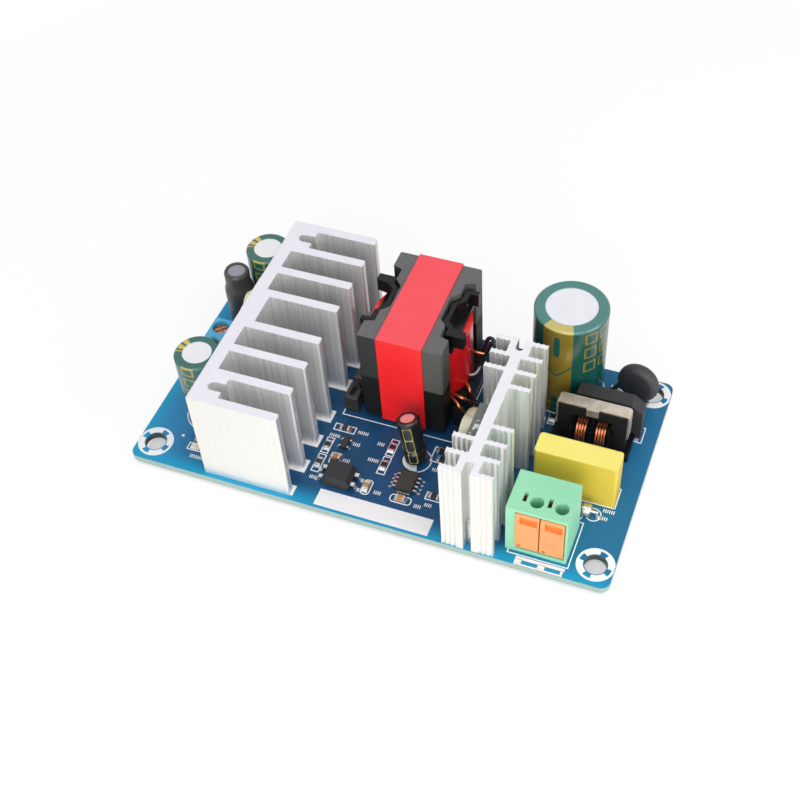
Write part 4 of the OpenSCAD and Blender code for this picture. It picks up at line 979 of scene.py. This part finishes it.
def paint(piece: Piece, material: Material) -> None:
    """Gives a piece one material in place of what it has."""
    piece.data.materials.clear()
    piece.data.materials.append(material)


def take(piece: Piece) -> None:
    """Selects one piece alone and makes it active.

    Args:
        piece: The piece.
    """
    bpy.ops.object.select_all(action="DESELECT")
    piece.select_set(True)
    bpy.context.view_layer.objects.active = piece


def add(primitive: Callable[..., object], **values: object) -> Piece:
    """Adds a primitive with everything else deselected first.

    Args:
        primitive: The operator that adds it.
        values: What the operator is told.

    Returns:
        The new piece.
    """
    bpy.ops.object.select_all(action="DESELECT")
    primitive(**values)
    return bpy.context.active_object


def fix_place(piece: Piece) -> None:
    """Moves a piece's place, turn and scale into its mesh."""
    take(piece)
    bpy.ops.object.transform_apply(location=True, rotation=True, scale=True)


def edit(piece: Piece, work: Callable[[], object]) -> None:
    """Runs work on a piece in edit mode, with everything selected at its start.

    Args:
        piece: The piece.
        work: Called in edit mode; it may select and run operators.
    """
    take(piece)
    bpy.ops.object.mode_set(mode="EDIT")
    bpy.ops.mesh.select_all(action="SELECT")
    work()
    bpy.ops.object.mode_set(mode="OBJECT")


def pick(piece: Piece, kind: Pick, wanted: Callable[[object], bool]) -> None:
    """Selects, in edit mode, only the faces or points that a test accepts.

    Args:
        piece: The piece.
        kind: Whether faces or points are selected.
        wanted: The test, given one face or point.
    """
    bpy.ops.mesh.select_mode(type=kind.value)
    mesh = bmesh.from_edit_mesh(piece.data)
    for item in mesh.faces if kind is Pick.FACES else mesh.verts:
        item.select_set(wanted(item))
    mesh.select_flush_mode()
    bmesh.update_edit_mesh(piece.data)


def join(pieces: Sequence[Piece], name: str) -> Piece:
    """Joins pieces into one object.

    Args:
        pieces: The pieces.
        name: The joined piece's name.

    Returns:
        The joined piece.
    """
    take(pieces[0])
    for piece in pieces:
        piece.select_set(True)
    bpy.ops.object.join()
    joined = bpy.context.view_layer.objects.active
    joined.name = joined.data.name = name
    return joined


def shift(x: float, y: float, z: float = 0.0) -> Matrix:
    """Gives a move in millimetres."""
    return Matrix.Translation((x * MM, y * MM, z * MM))


def repeat(pattern: Piece, places: Sequence[Matrix]) -> List[Piece]:
    """Sets copies of a modelled piece, each with its own mesh, and takes the pattern away.

    Args:
        pattern: The piece, modelled about the origin.
        places: Where each copy goes.

    Returns:
        The copies.
    """
    copies: List[Piece] = []
    for place in places:
        piece = pattern.copy()
        piece.data = pattern.data.copy()
        bpy.context.collection.objects.link(piece)
        piece.matrix_world = place
        fix_place(piece)
        copies.append(piece)
    bpy.data.objects.remove(pattern)
    return copies


def bevelled_box(low: Point, high: Point, bevel: float) -> Piece:
    """Models a box between two corners in millimetres with its edges bevelled.

    Args:
        low: The lowest corner.
        high: The highest corner.
        bevel: The bevel's width.

    Returns:
        The box.
    """
    centre = [(a + b) / 2 * MM for a, b in zip(low, high)]
    box = add(bpy.ops.mesh.primitive_cube_add, size=1.0, location=centre)
    box.scale = [(b - a) * MM for a, b in zip(low, high)]
    fix_place(box)
    edit(box, lambda: bpy.ops.mesh.bevel(offset=bevel * MM, segments=2, affect="EDGES"))
    return box


def finish_piece(piece: Piece, body: Body, material: Material) -> None:
    """Paints a piece and lets it ride on its body.

    Args:
        piece: The piece.
        body: The body that carries it.
        material: Its finish.
    """
    paint(piece, material)
    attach(piece, body.value)
    LOG.info("piece %s: %d faces", piece.name, len(piece.data.polygons))


@dataclass
class BoardPrint:
    """White ink on the board: hole rings, part outlines, foot pads and a bare name field."""

    top: float = 1.6
    ink: float = 0.02
    line: float = 0.24
    holes: Tuple[Place, ...] = ((-49.6, -23.5), (-49.6, 23.5), (49.6, -23.5), (49.6, 23.5))
    ring: Point = (3.95, 0.5, 0.95)
    window_turn: float = -20.0
    window_half: float = 17.0
    window_pitch: float = 90.0
    frames: Tuple[Tuple[float, float, float, float, float], ...] = (
        (-13.85, -8.0, -8.85, -6.0, 0.0), (-14.1, -14.7, -12.3, -10.2, 0.0),
        (-14.1, -20.0, -12.2, -15.0, 0.0), (-0.45, -11.1, 1.45, -6.4, 0.0),
        (-0.5, -16.25, 1.45, -11.3, 0.0), (-13.55, -3.33, 13.4, 24.2, 0.0),
        (-2.0, -22.3, 0.1, -18.3, 0.8), (4.6, -22.1, 9.4, -20.0, 0.8), (31.9, -26.3, 44.75, -14.5, 0.0),
        (31.8, -9.25, 49.8, -3.7, 0.3), (-42.3, -23.2, -38.6, -21.2, 0.0), (9.2, -9.5, 14.2, -5.3, 0.0),
        (11.6, -19.3, 15.6, -17.2, 0.0), (-49.2, -4.2, -40.0, 7.4, 0.0), (35.2, 9.2, 50.6, 13.7, 0.0),
        (29.85, 8.3, 31.5, 12.2, 0.0), (34.8, -13.9, 44.0, -10.7, 0.5), (-11.4, -16.9, -9.0, -13.7, 0.6))
    fields: Tuple[Box, ...] = (
        (-10.0, -27.9, 15.4, -23.7), (34.0, -27.2, 44.2, -26.5), (34.0, -28.5, 44.0, -28.15),
        (34.0, -28.2, 35.4, -27.1), (38.8, -28.2, 40.25, -27.1), (43.5, -28.2, 44.0, -27.1),
        (-9.6, -22.3, -4.6, -22.05), (5.4, -19.35, 8.3, -19.1), (-44.9, -20.4, -44.3, -19.8))
    circles: Tuple[Point, ...] = (
        (-41.4, -12.2, 5.5), (-40.4, 21.8, 5.5), (-45.3, 14.7, 3.8), (6.6, -10.2, 3.3), (31.1, 19.7, 8.3),
        (45.9, -11.9, 1.7))
    marks: Tuple[Tuple[float, float, int], ...] = (
        (-8.2, -7.0, 3), (-13.9, -9.5, 3), (-8.0, -10.4, 2), (-8.4, -15.2, 2), (-3.0, -8.6, 2),
        (-3.4, -13.2, 3), (1.0, -21.0, 2), (10.2, -21.6, 2), (-13.6, -21.4, 3), (-40.6, -24.6, 4),
        (-41.6, -20.2, 3), (47.6, -10.2, 3), (46.6, -12.2, 3), (47.4, 9.9, 3), (10.6, -11.4, 3),
        (12.2, -20.6, 2), (15.0, -14.2, 3))
    edges: Tuple[Tuple[Point, Point], ...] = (
        ((53.4, 0.0, 0.0), (1.0, 0.0, 0.0)), ((-53.4, 0.0, 0.0), (-1.0, 0.0, 0.0)),
        ((0.0, 27.5, 0.0), (0.0, 1.0, 0.0)))
    sink_feet: Tuple[float, ...] = (-26.55, -19.3, -12.05, -4.8, 4.8, 12.05, 19.3, 26.55)
    rim_points: int = 72
    dot: Box = (6.6, -10.2, 3.3, 20.0)
    dot_points: int = 48
    sink_x: Place = (-34.0, -15.05)
    sink_half: float = 1.75
    sink_limit: float = 27.4
    stroke: Point = (0.42, 0.2, 0.45)

    def plate(self, box: Box) -> Piece:
        """Adds a flat rectangle on the board's top.

        Args:
            box: Its left, front, right and back edge.

        Returns:
            The rectangle.
        """
        x0, y0, x1, y1 = (value * MM for value in box)
        centre = ((x0 + x1) / 2, (y0 + y1) / 2, self.top * MM)
        plate = add(bpy.ops.mesh.primitive_plane_add, size=1.0, location=centre)
        plate.scale = (x1 - x0, y1 - y0, 1.0)
        fix_place(plate)
        return plate

    def disc(self, x: float, y: float, radius: float, points: int) -> Piece:
        """Adds a flat disc on the board's top.

        Args:
            x: Centre.
            y: Centre.
            radius: Its radius.
            points: How many points its rim has.

        Returns:
            The disc.
        """
        disc = add(bpy.ops.mesh.primitive_circle_add, vertices=points, radius=radius * MM, fill_type="NGON",
                   location=(x * MM, y * MM, self.top * MM))
        fix_place(disc)
        return disc

    def outline(self, sheet: Piece, bands: Sequence[float], corner: float = 0.0) -> Piece:
        """Opens a flat sheet: rounds its corners, insets each band and cuts the middle out.

        Args:
            sheet: The sheet.
            bands: Width of each band, from the outside.
            corner: Corner radius, or 0.

        Returns:
            The sheet, now a line round an opening.
        """
        def open_up() -> None:
            """Runs the operators."""
            if corner > 0.0:
                bpy.ops.mesh.bevel(offset=corner * MM, segments=5, affect="VERTICES")
                bpy.ops.mesh.select_all(action="SELECT")
            for band in bands:
                bpy.ops.mesh.inset(thickness=band * MM)
            bpy.ops.mesh.delete(type="FACE")
        edit(sheet, open_up)
        return sheet

    def hole_ring(self) -> Piece:
        """Models a mounting-hole ring with four windows in its inner band.

        Returns:
            The ring, about the origin.
        """
        ring = self.outline(self.disc(0.0, 0.0, self.ring[0], self.rim_points), self.ring[1:])
        limit = (self.ring[0] - self.ring[1]) * MM

        def in_window(face: bmesh.types.BMFace) -> bool:
            """Tells whether a face of the inner band lies in a window.

            Args:
                face: The face.

            Returns:
                Whether it is cut away.
            """
            spot = face.calc_center_median().xy
            pitch = self.window_pitch
            angle = (math.degrees(math.atan2(spot.y, spot.x)) - self.window_turn + pitch / 2) % pitch
            return spot.length < limit and abs(angle - pitch / 2) < self.window_half

        def cut() -> None:
            """Deletes the windows."""
            pick(ring, Pick.FACES, in_window)
            bpy.ops.mesh.delete(type="FACE")
        edit(ring, cut)
        return ring

    def half_disc(self, x: float, y: float, radius: float, turn: float) -> Piece:
        """Models the filled half of a round outline, cut along a line through its centre.

        Args:
            x: Centre.
            y: Centre.
            radius: Its radius.
            turn: Direction of the half that is cut off, in degrees.

        Returns:
            The half disc.
        """
        half = self.disc(x, y, radius, self.dot_points)
        side = (math.cos(math.radians(turn)), math.sin(math.radians(turn)), 0.0)
        edit(half, lambda: bpy.ops.mesh.bisect(
            plane_co=(x * MM, y * MM, self.top * MM), plane_no=side, clear_outer=True))
        return half

    def flat_parts(self) -> List[Piece]:
        """Models every mark as a flat sheet.

        Returns:
            The sheets.
        """
        parts = repeat(self.hole_ring(), [shift(x, y) for x, y in self.holes])
        parts += [self.outline(self.plate(row[:4]), (self.line,), row[4]) for row in self.frames]
        parts += [self.plate(box) for box in self.fields]
        parts += [self.outline(self.disc(*row, self.rim_points), (self.line,)) for row in self.circles]
        parts.append(self.half_disc(*self.dot))
        for y in self.sink_feet:
            low, high = max(y - self.sink_half, -self.sink_limit), min(y + self.sink_half, self.sink_limit)
            parts.append(self.plate((self.sink_x[0], low, self.sink_x[1], high)))
        pitch, width, half = self.stroke
        places = [shift(x + index * pitch, y) for x, y, count in self.marks for index in range(2 * count)]
        return parts + repeat(self.plate((0.0, -half, width, half)), places)

    def build(self, material: Material) -> None:
        """Models all the ink as one thin piece.

        Args:
            material: The ink.
        """
        ink = join(self.flat_parts(), "board_print")

        def trim() -> None:
            """Cuts off the ink that runs past the board's edges."""
            for place, way in self.edges:
                bpy.ops.mesh.select_all(action="SELECT")
                bpy.ops.mesh.bisect(plane_co=Vector(place) * MM, plane_no=way, clear_outer=True)
        edit(ink, trim)
        thick = ink.modifiers.new("thickness", "SOLIDIFY")
        thick.thickness = self.ink * MM
        thick.offset = 1.0
        bpy.ops.object.modifier_apply(modifier=thick.name)
        finish_piece(ink, Body.BOARD, material)


@dataclass
class ChipEnds:
    """Tin ends and solder ramps of the small two-ended chips."""

    top: float = 1.6
    length: float = 2.0
    width: float = 1.25
    cap: float = 0.42
    skin: float = 0.03
    toe: float = 0.45
    climb: float = 0.75
    heel: float = 0.08
    bevels: Place = (0.05, 0.03)
    heights: Place = (0.6, 1.0)
    resistors: Tuple[Tuple[float, float, Along], ...] = (
        (-11.3, -7.0, Along.X), (-13.2, -12.45, Along.Y), (-13.2, -17.4, Along.Y), (0.5, -8.8, Along.Y),
        (0.45, -13.75, Along.Y), (11.05, -6.4, Along.X), (11.85, -8.5, Along.X), (13.45, -18.2, Along.X),
        (30.65, 10.4, Along.Y))
    ceramics: Tuple[Tuple[float, float, Along], ...] = (
        (-10.1, -15.2, Along.X), (-1.0, -20.3, Along.Y), (6.95, -21.05, Along.X))

    def place(self, x: float, y: float, turn: float) -> Matrix:
        """Gives the place of one end from its chip's centre and its turn in degrees."""
        return shift(x, y) @ Matrix.Rotation(math.radians(turn), 4, "Z")

    def end(self, height: float) -> Piece:
        """Models one tin end and the solder ramp outside it, for a chip along X.

        Args:
            height: Height of the chip.

        Returns:
            The end, about the chip's centre.
        """
        inner, outer = self.length / 2 - self.cap, self.length / 2 + self.skin
        half, crest = self.width / 2 + self.skin, self.top + self.climb * height
        cap = bevelled_box(
            (inner, -half, self.top), (outer, half, self.top + height + self.skin), self.bevels[0])
        solder = bevelled_box((outer, -half, self.top), (outer + self.toe, half, crest), self.bevels[1])

        def slope() -> None:
            """Flattens the far top edge of the solder down to the pad."""
            waist = Vector((outer + self.toe / 2, 0.0, (self.top + crest) / 2)) * MM
            pick(solder, Pick.POINTS, lambda point: point.co.z > waist.z and point.co.x > waist.x)
            centre = (0.0, 0.0, (self.top + self.heel) * MM)
            bpy.ops.transform.resize(value=(1.0, 1.0, 0.0), center_override=centre)
        edit(solder, slope)
        return join([cap, solder], "chip_end")

    def build(self, material: Material) -> None:
        """Models an end for each height and sets it at both ends of every chip, as one piece.

        Args:
            material: The tin.
        """
        parts: List[Piece] = []
        for chips, height in zip((self.resistors, self.ceramics), self.heights):
            places = [self.place(x, y, way.value + turn) for x, y, way in chips for turn in (0.0, 180.0)]
            parts += repeat(self.end(height), places)
        ends = join(parts, "chip_ends")
        finish_piece(ends, Body.BOARD, material)


@dataclass
class ChokeTurns:
    """The two choke windings, each a helix of round wire over the bobbin."""

    windings: Tuple[Tuple[str, str, Point], ...] = (
        ("choke_turns_left", "choke_winding_left", (38.33, 6.5, 5.05)),
        ("choke_turns_right", "choke_winding_right", (42.57, 6.5, 5.05)))
    length: float = 3.45
    radius: float = 3.1
    wire: float = 0.3
    fit: float = 0.98
    sides: int = 10
    steps: int = 40

    def helix(self) -> Piece:
        """Screws a wire section round the coil axis.

        Returns:
            The winding, about the origin.
        """
        turns = int(self.length / (2 * self.wire)) - 1
        coil = add(bpy.ops.mesh.primitive_circle_add, vertices=self.sides, radius=self.wire * self.fit * MM,
                   fill_type="NOTHING")
        start = (-turns * self.wire * MM, (self.radius - self.wire) * MM, 0.0)
        edit(coil, lambda: bpy.ops.transform.translate(value=start))
        screw = coil.modifiers.new("turns", "SCREW")
        screw.axis = "X"
        screw.angle = 2.0 * math.pi
        screw.screw_offset = 2.0 * self.wire * MM
        screw.iterations = turns
        screw.steps = screw.render_steps = self.steps
        bpy.ops.object.modifier_apply(modifier=screw.name)

        def close() -> None:
            """Merges doubles, closes the wire's ends and turns the faces outwards."""
            bpy.ops.mesh.remove_doubles(threshold=WELD)
            bpy.ops.mesh.fill_holes(sides=self.sides)
            bpy.ops.mesh.select_all(action="SELECT")
            bpy.ops.mesh.normals_make_consistent(inside=False)
        edit(coil, close)
        bpy.ops.object.shade_smooth()
        return coil

    def build(self, material: Material) -> None:
        """Models one winding and sets it in both places.

        Args:
            material: The wire's finish.
        """
        coils = repeat(self.helix(), [shift(*middle) for _, _, middle in self.windings])
        for coil, (name, node, _) in zip(coils, self.windings):
            coil.name = coil.data.name = name
            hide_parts(node)
            finish_piece(coil, Body.BOARD, material)


@dataclass
class WindingEnds:
    """Ends of the transformer windings: bare copper to the pin rail, a pale wire and two black tubes."""

    node: str = "transformer_leads"
    copper: Tuple[Route, ...] = (
        (0.4, ((11.58, 7.92, 9.0), (12.47, 6.65, 9.4), (13.33, 5.69, 9.2), (13.72, 6.03, 7.4),
               (13.69, 7.34, 4.6), (13.51, 8.84, 1.78))),
        (0.35, ((9.66, 3.89, 9.2), (11.1, 3.28, 9.6), (13.01, 3.0, 9.4), (13.8, 4.15, 7.6),
                (14.33, 6.09, 4.8), (14.48, 8.27, 1.78))),
        (0.4, ((9.74, 3.01, 9.2), (11.31, 1.77, 9.3), (12.69, 1.01, 8.8), (13.4, 2.09, 6.2),
               (13.4, 3.22, 4.0), (13.48, 4.36, 1.78))),
        (0.25, ((11.75, 11.6, 15.6), (12.6, 11.1, 15.9), (13.6, 11.1, 15.9), (14.4, 11.2, 15.8),
                (15.1, 11.4, 15.8))))
    pale: Tuple[Route, ...] = (
        (0.28, ((11.8, 9.9, 9.4), (12.5, 10.1, 9.5), (13.0, 10.6, 9.7), (13.4, 11.2, 10.2),
                 (13.5, 11.8, 10.8))),)
    tubes: Tuple[Route, ...] = (
        (0.45, ((12.2, 14.5, 9.2), (13.1, 14.0, 12.0), (14.3, 13.4, 16.5), (15.1, 12.9, 19.4),
                (16.6, 12.4, 19.6), (17.8, 11.6, 15.0), (18.2, 11.2, 6.0), (18.2, 11.2, 1.78))),
        (0.45, ((12.3, 11.9, 8.9), (13.7, 11.8, 12.0), (15.2, 11.4, 16.4), (16.5, 11.1, 20.4),
                (17.6, 10.7, 20.0), (18.2, 9.9, 14.0), (18.2, 9.5, 6.0), (18.2, 9.5, 1.78))))
    order: int = 3
    steps: int = 8
    roundness: int = 3

    def wire(self, radius: float, points: Sequence[Point]) -> Piece:
        """Models one smooth round wire along a route.

        Args:
            radius: The wire's radius.
            points: The route, in millimetres.

        Returns:
            The wire as a mesh.
        """
        wire = add(bpy.ops.curve.primitive_nurbs_path_add)
        spline = wire.data.splines[0]
        spline.points.add(len(points) - len(spline.points))
        for knot, spot in zip(spline.points, points):
            knot.co = (*[value * MM for value in spot], 1.0)
        spline.order_u = self.order
        spline.use_endpoint_u = True
        wire.data.resolution_u = self.steps
        wire.data.bevel_depth = radius * MM
        wire.data.bevel_resolution = self.roundness
        wire.data.use_fill_caps = True
        bpy.ops.object.convert(target="MESH")
        edit(wire, lambda: bpy.ops.mesh.remove_doubles(threshold=WELD))
        bpy.ops.object.shade_smooth_by_angle(angle=SMOOTH_ANGLE)
        return wire

    def build(self, materials: Dict[str, Material]) -> None:
        """Models the three kinds of wire, which together stand for the CAD leads.

        Args:
            materials: The finishes by name.
        """
        kinds = (("winding_copper", self.copper, "copper_wire"), ("winding_pale", self.pale, "pale_wire"),
                 ("winding_tubes", self.tubes, "tube_sleeve"))
        for name, routes, finish in kinds:
            piece = join([self.wire(radius, points) for radius, points in routes], name)
            finish_piece(piece, Body.BOARD, materials[finish])
        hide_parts(self.node)


@dataclass
class BobbinFoot:
    """Pin block at the bobbin's front left corner, and a peg behind it, each with a well in its top."""

    blocks: Tuple[Tuple[Point, Point], ...] = (
        ((-13.4, -2.0, 1.62), (-10.1, 2.6, 6.2)), ((-12.7, 2.4, 1.62), (-10.6, 4.8, 8.2)))
    bevel: float = 0.3
    well: Place = (0.7, 1.2)

    def block(self, low: Point, high: Point) -> Piece:
        """Models one block and sinks a well into its top.

        Args:
            low: Its lowest corner.
            high: Its highest corner.

        Returns:
            The block.
        """
        block = bevelled_box(low, high, self.bevel)
        rim, depth = self.well

        def sink() -> None:
            """Insets the broad top face and pushes it down."""
            pick(block, Pick.FACES, lambda face: face.normal.z > SQUARE_ON and face.calc_area() > MM * MM)
            bpy.ops.mesh.inset(thickness=rim * MM, depth=0.0)
            bpy.ops.mesh.extrude_region_move(TRANSFORM_OT_translate={"value": (0.0, 0.0, -depth * MM)})
        edit(block, sink)
        return block

    def build(self, material: Material) -> None:
        """Models the block and the peg as one piece.

        Args:
            material: The block's resin.
        """
        foot = join([self.block(low, high) for low, high in self.blocks], "bobbin_foot")
        finish_piece(foot, Body.BOARD, material)


@dataclass
class ThermistorSkirts:
    """Coating that runs from the thermistor's disc down its two legs."""

    runs: Tuple[Tuple[Point, Point], ...] = (
        ((40.9, 22.45, 1.75), (43.3, 21.8, 5.2)), ((48.9, 20.5, 1.75), (48.6, 20.65, 4.6)))
    foot_r: float = 0.5
    sides: int = 28
    straight: float = 0.45
    flares: Tuple[Place, ...] = ((0.25, 2.9 * 0.6), (0.3, 1.0 / 0.6))

    def skirt(self, foot: Point, top: Point) -> Piece:
        """Models one skirt as a round that widens towards the disc.

        Args:
            foot: Its end at the board, in millimetres.
            top: Its end inside the disc, in millimetres.

        Returns:
            The skirt.
        """
        run = Vector(top) - Vector(foot)
        piece = add(
            bpy.ops.mesh.primitive_cylinder_add, vertices=self.sides, radius=self.foot_r * MM,
            depth=run.length * self.straight * MM, location=(Vector(foot) + run * self.straight / 2) * MM,
            rotation=run.to_track_quat("Z", "Y").to_euler())
        fix_place(piece)

        def widen() -> None:
            """Draws the upper end out in steps, each wider than the last."""
            way = run.normalized()
            pick(piece, Pick.FACES, lambda face: face.normal.dot(way) > SQUARE_ON)
            for share, grow in self.flares:
                move = list(run * share * MM)
                bpy.ops.mesh.extrude_region_move(TRANSFORM_OT_translate={"value": move})
                bpy.ops.transform.resize(value=(grow, grow, grow))
        edit(piece, widen)
        bpy.ops.object.shade_smooth_by_angle(angle=SMOOTH_ANGLE)
        return piece

    def build(self, material: Material) -> None:
        """Models both skirts as one piece.

        Args:
            material: The disc's coating.
        """
        skirts = join([self.skirt(foot, top) for foot, top in self.runs], "thermistor_skirts")
        finish_piece(skirts, Body.BOARD, material)


@dataclass
class CadDress:
    """The CAD nodes, each with its procedural finish."""

    nodes: Dict[str, Piece]

    def dress(self, materials: Dict[str, Material]) -> None:
        """Paints every node.

        Args:
            materials: The finishes by name.
        """
        finish_of = {name: finish for finish, names in FINISH_NODES.items() for name in names}
        for name, node in self.nodes.items():
            paint(node, materials[finish_of[name]])
            LOG.info("node %s: %s", name, finish_of[name])


@dataclass(frozen=True)
class Lamp:
    """A soft square lamp, with lengths in millimetres and its power in watts."""

    name: str
    place: Point
    aim: Point
    size: float
    power: float

    def build(self) -> None:
        """Adds the lamp to the scene."""
        data = bpy.data.lights.new(self.name, "AREA")
        data.size = self.size * MM
        data.energy = self.power
        lamp = bpy.data.objects.new(self.name, data)
        bpy.context.scene.collection.objects.link(lamp)
        start, end = Vector(self.place) * MM, Vector(self.aim) * MM
        lamp.rotation_euler = (end - start).to_track_quat("-Z", "Y").to_euler()
        lamp.location = start


@dataclass
class Studio:
    """Camera, lights, sky and floor."""

    eye: Point = (75.87, -167.84, 223.51)
    right: Point = (0.93264, 0.35677, -0.05384)
    up: Point = (-0.23955, 0.72386, 0.64703)
    back: Point = (0.26981, -0.59055, 0.76056)
    lens: float = 58.998
    sensor: float = 36.0
    near_clip: float = 0.005
    sky_levels: Place = (0.45, 0.95)
    floor_z: float = -1.6
    floor_size: float = 6.0
    floor_tones: Place = (0.93, 0.96)
    floor_clouds: float = 3.0
    floor_gloss: Point = (0.9, 0.0, 0.1)
    glow: float = 1.06
    glow_share: float = 0.75
    shade_share: float = 0.45
    shade_x: Point = (0.0, 52.5, 0.5)
    shade_y: Point = (-0.5, 27.4, 0.5)
    fade: Place = (0.09, 0.24)
    lamps: Tuple[Lamp, ...] = (
        Lamp("top_light", (120.0, -260.0, 600.0), (0.0, 0.0, 0.0), 600.0, 1.5),
        Lamp("right_light", (620.0, -100.0, 260.0), (0.0, 0.0, 10.0), 420.0, 1.5),
        Lamp("front_light", (140.0, -640.0, 260.0), (0.0, 0.0, 10.0), 500.0, 2.3))

    def camera(self) -> None:
        """Adds the camera at the photo's viewing angle."""
        data = bpy.data.cameras.new("photo_camera")
        data.sensor_width = self.sensor
        data.lens = self.lens
        data.clip_start = self.near_clip
        camera = bpy.data.objects.new("photo_camera", data)
        bpy.context.scene.collection.objects.link(camera)
        turn = Matrix((self.right, self.up, self.back)).transposed().to_4x4()
        camera.matrix_world = shift(*self.eye) @ turn
        bpy.context.scene.camera = camera

    def sky(self) -> None:
        """Lights the scene evenly and shows white to the camera and to gloss."""
        world = bpy.data.worlds.new("white_room")
        world.use_nodes = True
        tree = world.node_tree
        kinds = ("LightPath", "Math", "Math", "MapRange")
        path, seen, shown, level = (tree.nodes.new("ShaderNode" + kind) for kind in kinds)
        seen.operation = shown.operation = "MAXIMUM"
        level.inputs["To Min"].default_value, level.inputs["To Max"].default_value = self.sky_levels
        sky = tree.nodes["Background"]
        sky.inputs["Color"].default_value = (1.0, 1.0, 1.0, 1.0)
        connect(tree, (path, "Is Camera Ray", seen, 0), (path, "Is Glossy Ray", seen, 1),
                (seen, 0, shown, 0), (path, "Is Transmission Ray", shown, 1), (shown, 0, level, "Value"),
                (level, 0, sky, "Strength"))
        bpy.context.scene.world = world

    def floor_finish(self) -> Material:
        """Builds the floor's finish, which the camera sees brighter than the lamps light it.

        Returns:
            The material.
        """
        graph = Graph("pale_floor")
        graph.roughen(*self.floor_gloss)
        dark, light = ((level, level, level, 1.0) for level in self.floor_tones)
        colour = graph.group(mottle_group(), Scale=self.floor_clouds, Dark=dark, Light=light)
        graph.link(colour.outputs["Color"], graph.shader.inputs["Base Color"])
        x, y, _ = graph.axes()
        under = graph.times(graph.inside(x, *self.shade_x), graph.inside(y, *self.shade_y))
        near = graph.math("MULTIPLY_ADD", under, -self.shade_share, self.glow_share)
        far = graph.ramp(graph.math("SQRT", graph.squares(x, y)), *self.fade)
        path, glow, blend = graph.add("LightPath"), graph.add("Emission"), graph.add("MixShader")
        glow.inputs["Strength"].default_value = self.glow
        share = graph.times(path.outputs["Is Camera Ray"], graph.math("MAXIMUM", near, far))
        graph.link(share, blend.inputs[0])
        graph.link(graph.shader.outputs[0], blend.inputs[1])
        graph.link(glow.outputs[0], blend.inputs[2])
        graph.link(blend.outputs[0], graph.output.inputs["Surface"])
        return graph.material

    def floor(self) -> None:
        """Adds the pale floor under the solder tails."""
        centre = (0.0, 0.0, self.floor_z * MM)
        floor = add(bpy.ops.mesh.primitive_plane_add, size=self.floor_size, location=centre)
        floor.name = "floor"
        fix_place(floor)
        paint(floor, self.floor_finish())

    def build(self) -> None:
        """Sets the stage."""
        self.camera()
        self.sky()
        self.floor()
        for lamp in self.lamps:
            lamp.build()


def main() -> None:
    """Builds the scene piece by piece."""
    logging.basicConfig(level=logging.INFO, format="%(name)s: %(message)s")
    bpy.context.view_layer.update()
    bpy.context.scene.view_settings.view_transform = "Standard"
    Studio().build()
    materials = finishes()
    CadDress(frame["nodes"]).dress(materials)
    BoardPrint().build(materials["print_ink"])
    ChipEnds().build(materials["tinned"])
    ChokeTurns().build(materials["copper_wire"])
    WindingEnds().build(materials)
    BobbinFoot().build(materials["foot_resin"])
    ThermistorSkirts().build(materials["dark_resin"])


if __name__ == "__main__":
    main()
